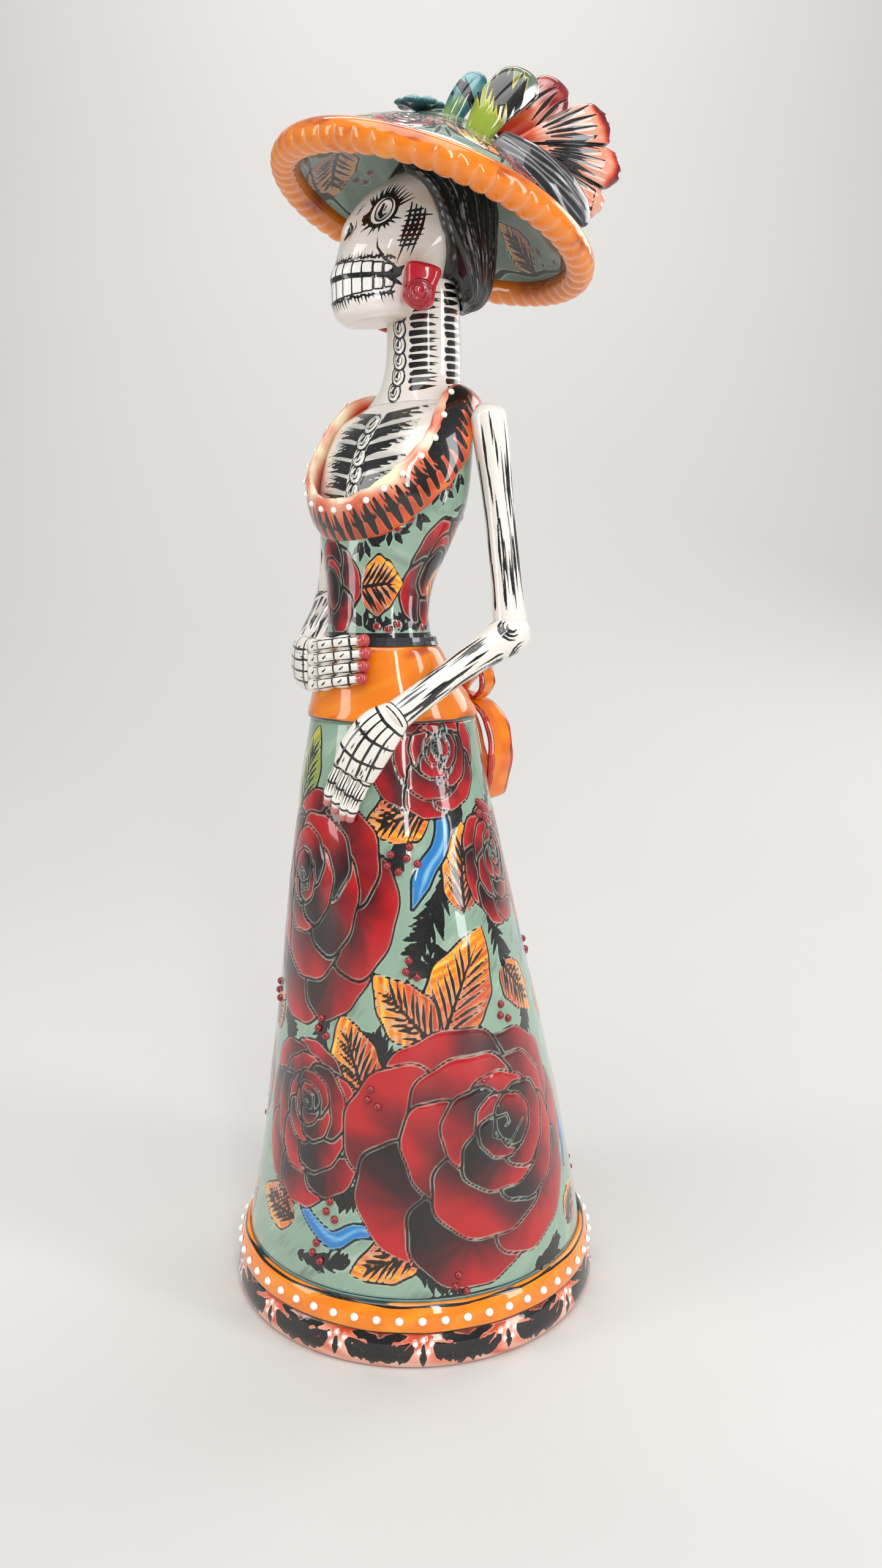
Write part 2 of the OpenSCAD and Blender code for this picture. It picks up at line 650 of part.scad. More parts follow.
foot_ring();
hem_band();
hem_beads();
skirt();
skirt_berries();
torso();
sash();
bodice_belt();
collar();
collar_beads();
neck();
bow_knot();
bow_loop_left();
bow_loop_right();
bow_small_loop_left();
bow_small_loop_right();
bow_tail_left();
bow_tail_right();
left_upper_arm();
left_forearm();
left_palm();
left_fingers();
right_upper_arm();
right_forearm();
right_palm();
right_fingers();
skull();
jaw();
hair();
earring_left();
earring_right();
hat();
hat_roll();
plume();
plume_lobe();
leaf_green();
leaf_teal();
leaf_back();
hat_feather();
teal_flower();
rose_front();
rose_back();
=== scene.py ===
"""A glazed clay catrina: a skeleton lady in a flowered dress and a wide hat.

Every piece is a skin of rings that carries its own glaze. The glaze is laid on in layers, as a
painter does: a ground, then filled motifs with a dark outline, then single brush strokes.
Lengths are in millimetres until a mesh is made.
"""

import logging
import math
from dataclasses import dataclass
from enum import Enum
from typing import Any, Optional, Sequence, Union

import bpy
import numpy as np
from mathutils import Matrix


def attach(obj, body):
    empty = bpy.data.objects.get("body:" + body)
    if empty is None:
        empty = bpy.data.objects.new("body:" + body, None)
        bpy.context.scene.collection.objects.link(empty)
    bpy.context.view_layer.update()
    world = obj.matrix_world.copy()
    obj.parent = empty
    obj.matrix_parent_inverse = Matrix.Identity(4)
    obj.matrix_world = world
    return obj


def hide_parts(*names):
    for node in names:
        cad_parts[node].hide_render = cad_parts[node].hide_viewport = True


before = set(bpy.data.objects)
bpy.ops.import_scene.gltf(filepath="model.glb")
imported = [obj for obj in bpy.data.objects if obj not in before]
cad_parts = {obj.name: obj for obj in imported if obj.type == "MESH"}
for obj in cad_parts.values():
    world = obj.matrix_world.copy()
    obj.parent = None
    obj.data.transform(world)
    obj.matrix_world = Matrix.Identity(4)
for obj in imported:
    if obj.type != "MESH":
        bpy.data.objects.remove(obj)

Array = np.ndarray
Point = Sequence[float]
Number = Union["Value", float]
LOG = logging.getLogger("catrina")
MM = 0.001
# Brush distance of a point that no stroke comes near
FAR = 6.0
# Where inner faces count as lying along a piece, so that no brush reaches them
UNSEEN = -900.0
# A reach that takes in a whole ring
ALL_ROUND = 900


class Glaze(Enum):
    """Glaze colours, as they look in daylight, from 0 to 255."""

    SAGE = (139, 166, 146)
    SAGE_PALE = (170, 192, 172)
    SAGE_GREY = (104, 124, 108)
    OLIVE = (128, 128, 48)
    LEAF = (150, 170, 52)
    DEEP_GREEN = (34, 50, 38)
    BLACK = (13, 13, 15)
    CHARCOAL = (44, 46, 54)
    ASH = (122, 124, 132)
    SOOT_RED = (20, 6, 8)
    NIGHT_RED = (46, 4, 10)
    MAROON = (92, 8, 18)
    CRIMSON = (140, 10, 20)
    RED = (180, 18, 24)
    SCARLET = (205, 44, 40)
    LIP_RED = (190, 12, 36)
    RUST = (176, 68, 20)
    VERMILION = (214, 78, 32)
    ORANGE = (238, 128, 8)
    AMBER = (248, 152, 18)
    YELLOW = (244, 208, 66)
    CREAM = (250, 236, 200)
    SALMON = (232, 152, 122)
    PINK = (236, 186, 168)
    BLUE = (38, 122, 190)
    BLUE_PALE = (132, 192, 228)
    TEAL = (38, 106, 116)
    TEAL_PALE = (104, 160, 164)
    BONE = (236, 230, 222)
    BONE_WARM = (222, 206, 190)
    WASH = (166, 164, 162)
    SLIP = (250, 248, 244)

    @property
    def linear(self) -> Array:
        """The colour as linear light."""
        c = np.array(self.value, dtype=float) / 255.0
        return np.where(c <= 0.04045, c / 12.92, ((c + 0.055) / 1.055) ** 2.4)


def smooth(lo: float, hi: float, x: Array) -> Array:
    """Eases from 0 to 1 between two values."""
    t = np.clip((x - lo) / (hi - lo), 0.0, 1.0)
    return t * t * (3.0 - 2.0 * t)


def ramp(t: Array, colours: Sequence[Glaze]) -> Array:
    """Runs through evenly spaced colours.

    Args:
        t: position from 0 to 1.
        colours: the colours in order.

    Returns:
        One linear colour for each position.
    """
    stops = np.linspace(0.0, 1.0, len(colours))
    table = np.array([c.linear for c in colours])
    t = np.clip(t, 0.0, 1.0)
    return np.stack([np.interp(t, stops, table[:, k]) for k in range(3)], axis=-1)


class Grain:
    """Smooth, repeatable unevenness, such as the pooling of glaze or the drag of a brush."""

    def __init__(self, seed: int) -> None:
        """Chooses the waves.

        Args:
            seed: a number that always gives the same pattern.
        """
        rng = np.random.default_rng(seed)
        self.turns = rng.uniform(0.0, 2.0 * math.pi, 8)
        self.phases = rng.uniform(0.0, 2.0 * math.pi, 8)
        self.pitch = rng.uniform(0.55, 1.8, 8)

    def __call__(self, x: Array, y: Union[Array, float], size: float) -> Array:
        """Reads the pattern.

        Args:
            x: first coordinate.
            y: second coordinate.
            size: length of a typical wave.

        Returns:
            Values of about -1 to 1.
        """
        total = 0.0
        for turn, phase, pitch in zip(self.turns, self.phases, self.pitch):
            swing = (x * math.cos(turn) + y * math.sin(turn)) * pitch * 2.0 * math.pi / size
            total = total + np.sin(swing + phase)
        return total / 4.0


# ---------- curves and frames ----------


def spline(points: Sequence[Point], count: int, closed: bool = False) -> Array:
    """Lays a smooth curve through points and spaces it evenly.

    Args:
        points: the points that the curve passes.
        count: number of points in the result.
        closed: whether the curve returns to its start.

    Returns:
        The curve, one row a point.
    """
    p = np.asarray(points, dtype=float)
    n = len(p)
    spans = n if closed else n - 1
    t = np.linspace(0.0, 1.0, 24, endpoint=False)[:, None]
    out = []
    for i in range(spans):
        pick = (lambda k: p[k % n]) if closed else (lambda k: p[min(max(k, 0), n - 1)])
        a, b, c, d = pick(i - 1), pick(i), pick(i + 1), pick(i + 2)
        out.append(0.5 * (2 * b + (c - a) * t + (2 * a - 5 * b + 4 * c - d) * t**2
                          + (3 * b - a - 3 * c + d) * t**3))
    curve = np.vstack(out + [p[:1] if closed else p[-1:]])
    length = np.concatenate([[0.0], np.cumsum(np.linalg.norm(np.diff(curve, axis=0), axis=1))])
    at = np.linspace(0.0, length[-1], count, endpoint=not closed)
    return np.stack([np.interp(at, length, curve[:, k]) for k in range(p.shape[1])], axis=1)


def table(x: Array, pairs: Sequence[Point]) -> Array:
    """Reads a table with smooth steps between its rows.

    Args:
        x: where to read.
        pairs: rows of position and value.

    Returns:
        The values.
    """
    p = np.asarray(pairs, dtype=float)
    x = np.clip(np.asarray(x, dtype=float), p[0, 0], p[-1, 0])
    slope = np.diff(p[:, 1]) / np.diff(p[:, 0])
    m = np.concatenate([[slope[0]], (slope[:-1] + slope[1:]) / 2, [slope[-1]]])
    m[1:-1] = np.where(slope[:-1] * slope[1:] <= 0, 0.0, m[1:-1])
    k = np.clip(np.searchsorted(p[:, 0], x, side="right") - 1, 0, len(p) - 2)
    h = p[k + 1, 0] - p[k, 0]
    t = (x - p[k, 0]) / h
    return ((2 * t**3 - 3 * t**2 + 1) * p[k, 1] + (t**3 - 2 * t**2 + t) * h * m[k]
            + (-2 * t**3 + 3 * t**2) * p[k + 1, 1] + (t**3 - t**2) * h * m[k + 1])


def unit(v: Array) -> Array:
    """Scales vectors to length one."""
    return v / np.maximum(np.linalg.norm(v, axis=-1, keepdims=True), 1e-9)


def turned(points: Array, degrees: float, axis: int) -> Array:
    """Turns points about a main axis through the origin.

    Args:
        points: the points.
        degrees: angle, right handed.
        axis: 0 for X, 1 for Y or 2 for Z.

    Returns:
        The turned points.
    """
    c, s = math.cos(math.radians(degrees)), math.sin(math.radians(degrees))
    i, j = (axis + 1) % 3, (axis + 2) % 3
    out = np.array(points, dtype=float)
    out[..., i] = c * points[..., i] - s * points[..., j]
    out[..., j] = s * points[..., i] + c * points[..., j]
    return out


@dataclass(frozen=True)
class HeadPose:
    """Where the turned head and the tilted hat are."""

    turn: float = 30.0
    middle_y: float = 3.0
    mouth_z: float = 296.5
    hat_y: float = 4.4
    hat_z: float = 315.0
    tilt: float = 19.0
    lean: float = 8.0

    def head(self, p: Array) -> Array:
        """Places points of the head."""
        return turned(p, -self.turn, 2) + [0.0, self.middle_y, 0.0]

    def hat(self, p: Array) -> Array:
        """Places points of the hat."""
        q = turned(turned(turned(p, self.lean, 2), -self.tilt, 0), -self.lean, 2)
        return self.head(q + [0.0, self.hat_y, self.hat_z])

    def from_hat(self, p: Array) -> Array:
        """Undoes the hat's placing."""
        q = turned(p - [0.0, self.middle_y, 0.0], self.turn, 2) - [0.0, self.hat_y, self.hat_z]
        return turned(turned(turned(q, self.lean, 2), self.tilt, 0), -self.lean, 2)


# ---------- painted skins ----------


class Skin:
    """A skin of clay over a list of rings, with the glaze that lies on it."""

    def __init__(self, rings: Array, ground: Glaze, along: Optional[Array] = None,
                 angles: Optional[Array] = None, looped: bool = False) -> None:
        """Takes the form and lays the ground colour.

        Args:
            rings: points as rows of closed rings.
            ground: the first colour.
            along: how far each ring is along the piece; measured if it isn't given.
            angles: angle of each column in degrees, rising from 0.
            looped: whether the last ring joins the first.
        """
        self.rings = np.asarray(rings, dtype=float)
        rows, cols = self.rings.shape[:2]
        self.looped = looped
        closed = np.concatenate([self.rings, self.rings[:, :1]], axis=1)
        steps = np.cumsum(np.linalg.norm(np.diff(closed, axis=1), axis=2), axis=1)
        self.arc = np.concatenate([np.zeros((rows, 1)), steps], axis=1)
        self.angles = np.arange(cols) * 360.0 / cols if angles is None else angles
        if along is None:
            middle = self.rings.mean(axis=1)
            hops = np.linalg.norm(np.diff(middle, axis=0), axis=1)
            along = np.concatenate([[0.0], np.cumsum(hops)])
        along = np.asarray(along, dtype=float)
        self.along = np.repeat(along[:, None], cols, 1) if along.ndim == 1 else along
        self.paint = np.tile(ground.linear, (rows * cols, 1))
        self.ink = np.full(rows * cols, FAR)
        self.lift = np.zeros(rows * cols)

    @property
    def grid(self) -> tuple[Array, Array]:
        """Coordinates of every point on the surface."""
        return self.arc[:, :-1].ravel(), self.along.ravel()

    def near(self, angle: float, along: float, reach: float, tall: Optional[float] = None) -> "Spot":
        """Takes the part of the skin round a place.

        Args:
            angle: the place's angle round the rings, in degrees.
            along: how far along it is.
            reach: how far to each side to take.
            tall: how far to take along; the same as reach if it isn't given.

        Returns:
            The spot, whose X runs round the piece and whose Y runs along it.
        """
        full = np.append(self.angles, self.angles[0] + 360.0)
        a = (angle - full[0]) % 360.0 + full[0]
        j = int(np.searchsorted(full, a, side="right")) - 1
        share = (a - full[j]) / (full[j + 1] - full[j])
        base = self.arc[:, j] * (1 - share) + self.arc[:, j + 1] * share
        total = self.arc[:, -1:]
        x = self.arc[:, :-1] - base[:, None]
        x -= total * np.round(x / total)
        y = self.along - along
        keep = np.flatnonzero((np.abs(x) < reach) & (np.abs(y) < (tall or reach)))
        return Spot(self, keep, x.ravel()[keep], y.ravel()[keep])

    def colour(self, values: Array) -> None:
        """Lays a colour over everything."""
        self.paint[:] = values

    def body(self) -> tuple[Array, list[list[int]], Array, Array]:
        """Works out the raised surface.

        Returns:
            Its points, faces, paint and brush distances.
        """
        rows, cols = self.rings.shape[:2]
        side = np.roll(self.rings, -1, 1) - np.roll(self.rings, 1, 1)
        if self.looped:
            ahead = np.roll(self.rings, -1, 0) - np.roll(self.rings, 1, 0)
        else:
            ahead = np.gradient(self.rings, axis=0)
        normal = unit(np.cross(side, ahead))
        last = rows if self.looped else rows - 1
        i, k = np.meshgrid(np.arange(last), np.arange(cols), indexing="ij")
        up, k2 = (i + 1) % rows, (k + 1) % cols
        quads = np.stack([i * cols + k, i * cols + k2, up * cols + k2, up * cols + k], -1).reshape(-1, 4)
        flat = self.rings.reshape(-1, 3)
        p, q, r, s = np.moveaxis((flat - flat.mean(axis=0))[quads], 1, 0)
        sign = 1.0 if np.sum(np.cross(q - p, r - p) * p) + np.sum(np.cross(r - p, s - p) * p) > 0 else -1.0
        if sign < 0:
            quads = quads[:, ::-1]
        points = (self.rings + sign * normal * self.lift.reshape(rows, cols, 1)).reshape(-1, 3)
        faces, paint, ink = quads.tolist(), self.paint, self.ink
        if not self.looped:
            for row, forward in ((0, sign < 0), (rows - 1, sign > 0)):
                ring = list(range(row * cols, (row + 1) * cols))
                tip = len(points)
                points = np.vstack([points, points[ring].mean(axis=0)])
                paint = np.vstack([paint, paint[ring].mean(axis=0)])
                ink = np.append(ink, FAR)
                faces += [[tip, a, b] if forward else [tip, b, a] for a, b in zip(ring, ring[1:] + ring[:1])]
        return points, faces, paint, ink

    def mesh(self, name: str, finish: "Finish", *nodes: str, slot: str) -> bpy.types.Object:
        """Makes the piece in the scene."""
        return assemble([self], name, finish, *nodes, slot=slot)


def assemble(skins: Sequence[Skin], name: str, finish: "Finish", *nodes: str, slot: str) -> bpy.types.Object:
    """Makes one piece of several skins.

    Args:
        skins: the skins.
        name: the piece's name.
        finish: its surface.
        nodes: the design's pieces that it stands for.
        slot: not used.

    Returns:
        The new object.
    """
    bodies = [skin.body() for skin in skins]
    starts = np.cumsum([0] + [len(b[0]) for b in bodies])
    points = np.vstack([b[0] for b in bodies])
    faces = [[v + int(start) for v in face] for b, start in zip(bodies, starts) for face in b[1]]
    paint, ink = np.vstack([b[2] for b in bodies]), np.concatenate([b[3] for b in bodies])
    data = bpy.data.meshes.new(name)
    data.from_pydata((points * MM).tolist(), [], faces)
    data.polygons.foreach_set("use_smooth", [True] * len(data.polygons))
    layer = data.attributes.new("glaze", "FLOAT_COLOR", "POINT")
    layer.data.foreach_set("color", np.column_stack([paint, np.ones(len(paint))]).ravel())
    layer = data.attributes.new("brush", "FLOAT", "POINT")
    layer.data.foreach_set("value", ink)
    data.update()
    data.materials.append(finish.material())
    piece = bpy.data.objects.new(name, data)
    bpy.context.scene.collection.objects.link(piece)
    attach(piece, "root")
    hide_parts(*nodes)
    return piece


class Spot:
    """A part of a skin that a brush works on, with its own flat coordinates."""

    def __init__(self, skin: Skin, index: Array, x: Array, y: Array) -> None:
        """Holds the points."""
        self.skin, self.index, self.x, self.y = skin, index, x, y

    def aimed(self, start: Point, end: Point) -> "Spot":
        """The same spot with X running from one point towards another.

        Args:
            start: the new origin.
            end: a point on the new X axis.

        Returns:
            The spot in the new coordinates.
        """
        dx, dy = end[0] - start[0], end[1] - start[1]
        size = math.hypot(dx, dy)
        x, y = self.x - start[0], self.y - start[1]
        return Spot(self.skin, self.index, (x * dx + y * dy) / size, (y * dx - x * dy) / size)

    def fill(self, depth: Array, colour: Union[Glaze, Array], line: float = 0.5, lift: float = 0.0) -> None:
        """Fills a shape and draws its outline.

        Args:
            depth: distance of each point from the shape's edge, negative inside.
            colour: the glaze.
            line: width of the dark outline, or 0 for none.
            lift: height that the shape is raised by.
        """
        s, i = self.skin, self.index
        value = colour.linear if isinstance(colour, Glaze) else colour
        cover = np.clip(0.5 - depth / 0.35, 0.0, 1.0)[:, None]
        s.paint[i] += (value - s.paint[i]) * cover
        inside = depth < 0
        if line > 0:
            edge = np.abs(depth) - line / 2
            s.ink[i] = np.where(inside, edge, np.minimum(s.ink[i], edge))
        else:
            s.ink[i] = np.where(inside, np.maximum(s.ink[i], -depth), s.ink[i])
        if lift:
            s.lift[i] = np.where(inside, lift * (1.0 - np.exp(depth / 0.6)), s.lift[i])

    def reach(self, path: Sequence[Point], widths: Sequence[float]) -> Array:
        """Measures to the edge of a brush stroke.

        Args:
            path: the stroke's route.
            widths: its width at each point of the route.

        Returns:
            Distance of each point, negative inside the stroke.
        """
        best = np.full(len(self.x), FAR)
        at = np.linspace(0.0, 1.0, len(path))
        w = np.interp(at, np.linspace(0.0, 1.0, len(widths)), widths)
        for k in range(len(path) - 1):
            (ax, ay), (bx, by) = path[k], path[k + 1]
            dx, dy = bx - ax, by - ay
            t = np.clip(((self.x - ax) * dx + (self.y - ay) * dy) / (dx * dx + dy * dy + 1e-9), 0.0, 1.0)
            d = np.hypot(self.x - ax - t * dx, self.y - ay - t * dy)
            best = np.minimum(best, d - (w[k] + (w[k + 1] - w[k]) * t) / 2)
        return best

    def stroke(self, path: Sequence[Point], widths: Sequence[float]) -> None:
        """Draws a dark stroke."""
        s, i = self.skin, self.index
        s.ink[i] = np.minimum(s.ink[i], self.reach(path, widths))

    def tint(self, amount: Array, colour: Glaze) -> None:
        """Washes a thin colour over the paint."""
        s, i = self.skin, self.index
        s.paint[i] += (colour.linear - s.paint[i]) * np.clip(amount, 0.0, 1.0)[:, None]


# ---------- shader building ----------


class Value:
    """One value in a shader. Ordinary arithmetic on it adds the nodes that work it out."""

    def __init__(self, web: "Web", socket: Any) -> None:
        """Wraps a socket."""
        self.web, self.socket = web, socket

    def _math(self, kind: str, a: Number, b: Number) -> "Value":
        """Adds the node that joins two numbers."""
        return self.web.node("ShaderNodeMath", {"operation": kind}, {0: a, 1: b})

    def __add__(self, other: Number) -> "Value":
        """Adds."""
        return self._math("ADD", self, other)

    def __radd__(self, other: Number) -> "Value":
        """Adds, from the left."""
        return self._math("ADD", other, self)

    def __sub__(self, other: Number) -> "Value":
        """Subtracts."""
        return self._math("SUBTRACT", self, other)

    def __rsub__(self, other: Number) -> "Value":
        """Subtracts this one."""
        return self._math("SUBTRACT", other, self)

    def __mul__(self, other: Number) -> "Value":
        """Multiplies."""
        return self._math("MULTIPLY", self, other)

    def __rmul__(self, other: Number) -> "Value":
        """Multiplies, from the left."""
        return self._math("MULTIPLY", other, self)

    def between(self, lo: float, hi: float, start: float = 0.0, end: float = 1.0) -> "Value":
        """Eases from one value to another while this one passes a range."""
        return self.web.node("ShaderNodeMapRange", {"interpolation_type": "SMOOTHSTEP"},
                             {0: self, 1: lo, 2: hi, 3: start, 4: end})


class Web:
    """A material's shader, built one node at a time."""

    def __init__(self, name: str) -> None:
        """Starts an empty material.

        Args:
            name: the material's name.
        """
        self.material = bpy.data.materials.new(name)
        self.material.use_nodes = True
        self.tree = self.material.node_tree
        self.tree.nodes.clear()

    def node(self, kind: str, settings: dict[str, Any], sockets: dict[Any, Any], out: Any = 0) -> Value:
        """Adds a node.

        Args:
            kind: its type.
            settings: its properties.
            sockets: its inputs, as values or constants.
            out: the output to return.

        Returns:
            The chosen output.
        """
        n = self.tree.nodes.new(kind)
        for key, value in settings.items():
            setattr(n, key, value)
        for key, value in sockets.items():
            if isinstance(value, Value):
                self.tree.links.new(value.socket, n.inputs[key])
            else:
                n.inputs[key].default_value = value
        return Value(self, n.outputs[out])

    def mix(self, share: Number, a: Any, b: Any) -> Value:
        """Mixes two colours."""
        return self.node("ShaderNodeMix", {"data_type": "RGBA"}, {0: share, 6: a, 7: b}, 2)

    def speckle(self, scale: float, detail: float = 2.0, stretch: Point = (1, 1, 1)) -> Value:
        """Cloudy noise fixed to the piece.

        Args:
            scale: how fine it is, in waves a metre.
            detail: how many finer layers it has.
            stretch: scale along X, Y and Z.

        Returns:
            Values of about 0.3 to 0.7.
        """
        where = self.node("ShaderNodeTexCoord", {}, {}, "Object")
        placed = self.node("ShaderNodeVectorMath", {"operation": "MULTIPLY"}, {0: where, 1: stretch})
        return self.node("ShaderNodeTexNoise", {}, {"Vector": placed, "Scale": scale, "Detail": detail})

    def surface(self, colour: Any, roughness: Number, coat: float, coat_roughness: float,
                normal: Value) -> bpy.types.Material:
        """Joins everything into a glazed surface.

        Args:
            colour: the base colour.
            roughness: roughness under the coat.
            coat: weight of the clear glaze.
            coat_roughness: its roughness.
            normal: the surface's fine relief.

        Returns:
            The finished material.
        """
        glazed = self.node("ShaderNodeBsdfPrincipled", {}, {
            "Base Color": colour, "Roughness": roughness, "Specular IOR Level": 0.2, "Coat Weight": coat,
            "Coat Roughness": coat_roughness, "Coat IOR": 1.54, "Normal": normal})
        self.node_out(glazed)
        return self.material

    def node_out(self, shader: Value) -> None:
        """Links a shader to the material's output."""
        end = self.tree.nodes.new("ShaderNodeOutputMaterial")
        self.tree.links.new(shader.socket, end.inputs["Surface"])


@dataclass(frozen=True)
class Finish:
    """A glazed surface that shows the paint on its skin."""

    name: str
    roughness: float = 0.32
    coat: float = 1.0
    coat_roughness: float = 0.045
    mottle: float = 0.12
    halo: float = 0.5
    ripple: float = 0.12
    ink: Glaze = Glaze.BLACK
    pale: Glaze = Glaze.SAGE_PALE
    plain: Optional[Glaze] = None
    pool: Glaze = Glaze.BLACK

    def material(self) -> bpy.types.Material:
        """Makes the material once and reuses it.

        Returns:
            The material.
        """
        known = bpy.data.materials.get(self.name)
        if known:
            return known
        web = Web(self.name)
        cloud = web.speckle(170.0, 3.0)
        fine = web.speckle(1500.0, 2.0)
        depth = (cloud - 0.5) * (4.0 * self.mottle) + (fine - 0.5) * self.mottle
        if self.plain is None:
            base = web.node("ShaderNodeAttribute", {"attribute_name": "glaze"}, {}, "Color")
            brush = web.node("ShaderNodeAttribute", {"attribute_name": "brush"}, {}, "Fac")
            brush = brush + (fine - 0.5) * 0.12
            shaded = web.mix(depth.between(0.0, 0.6, 0.0, 0.45), base, (*self.pool.linear, 1.0))
            rim = brush.between(0.02, 0.12) * brush.between(0.2, 0.42, 1.0, 0.0)
            rim = rim * cloud.between(0.4, 0.58, 0.3, 1.0) * self.halo
            edged = web.mix(rim, shaded, (*self.pale.linear, 1.0))
            dark = brush.between(-0.04, 0.06, 1.0, 0.0) * fine.between(0.2, 0.42, 0.88, 1.0)
            colour = web.mix(dark, edged, (*self.ink.linear, 1.0))
        else:
            base = (*self.plain.linear, 1.0)
            colour = web.mix(depth.between(-0.1, 0.5, 0.0, 0.5), base, (*self.pool.linear, 1.0))
        rough = self.roughness + (cloud - 0.5) * 0.2
        swell = web.speckle(330.0, 1.0)
        bump = web.node("ShaderNodeBump", {}, {"Strength": self.ripple, "Distance": 0.0008,
                                               "Height": swell + fine * 0.12})
        return web.surface(colour, rough, self.coat, self.coat_roughness, bump)


PAINTED = Finish("painted_glaze")
BONE_GLAZE = Finish("bone_glaze", pale=Glaze.BONE, halo=0.0, mottle=0.05)
ORANGE_GLAZE = Finish("orange_glaze", pale=Glaze.AMBER, halo=0.2, pool=Glaze.RUST, mottle=0.16)
BLACK_GLAZE = Finish("black_glaze", pale=Glaze.ASH, halo=0.3, mottle=0.1)
SLIP_DOT = Finish("slip_dot", plain=Glaze.SLIP, mottle=0.04, pool=Glaze.WASH)
BERRY = Finish("berry_glaze", plain=Glaze.CRIMSON, mottle=0.2, pool=Glaze.NIGHT_RED)


def dress(finish: Finish, slot: str, *nodes: str) -> None:
    """Gives the design's own pieces a better surface.

    Args:
        finish: the surface.
        slot: not used.
        nodes: the pieces.
    """
    for name in nodes:
        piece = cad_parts[name]
        piece.data.materials.clear()
        piece.data.materials.append(finish.material())
        piece.data.polygons.foreach_set("use_smooth", [True] * len(piece.data.polygons))


# ---------- painted motifs ----------

ROSE: tuple[tuple[int, float, float, float], ...] = (
    (7, 0.62, 0.43, 0.0), (5, 0.37, 0.37, 0.5), (4, 0.2, 0.27, 0.85), (3, 0.09, 0.17, 1.0))
PETALS: tuple[tuple[int, float, float, float], ...] = ((4, 0.5, 0.5, 0.0), (2, 0.12, 0.42, 0.6))


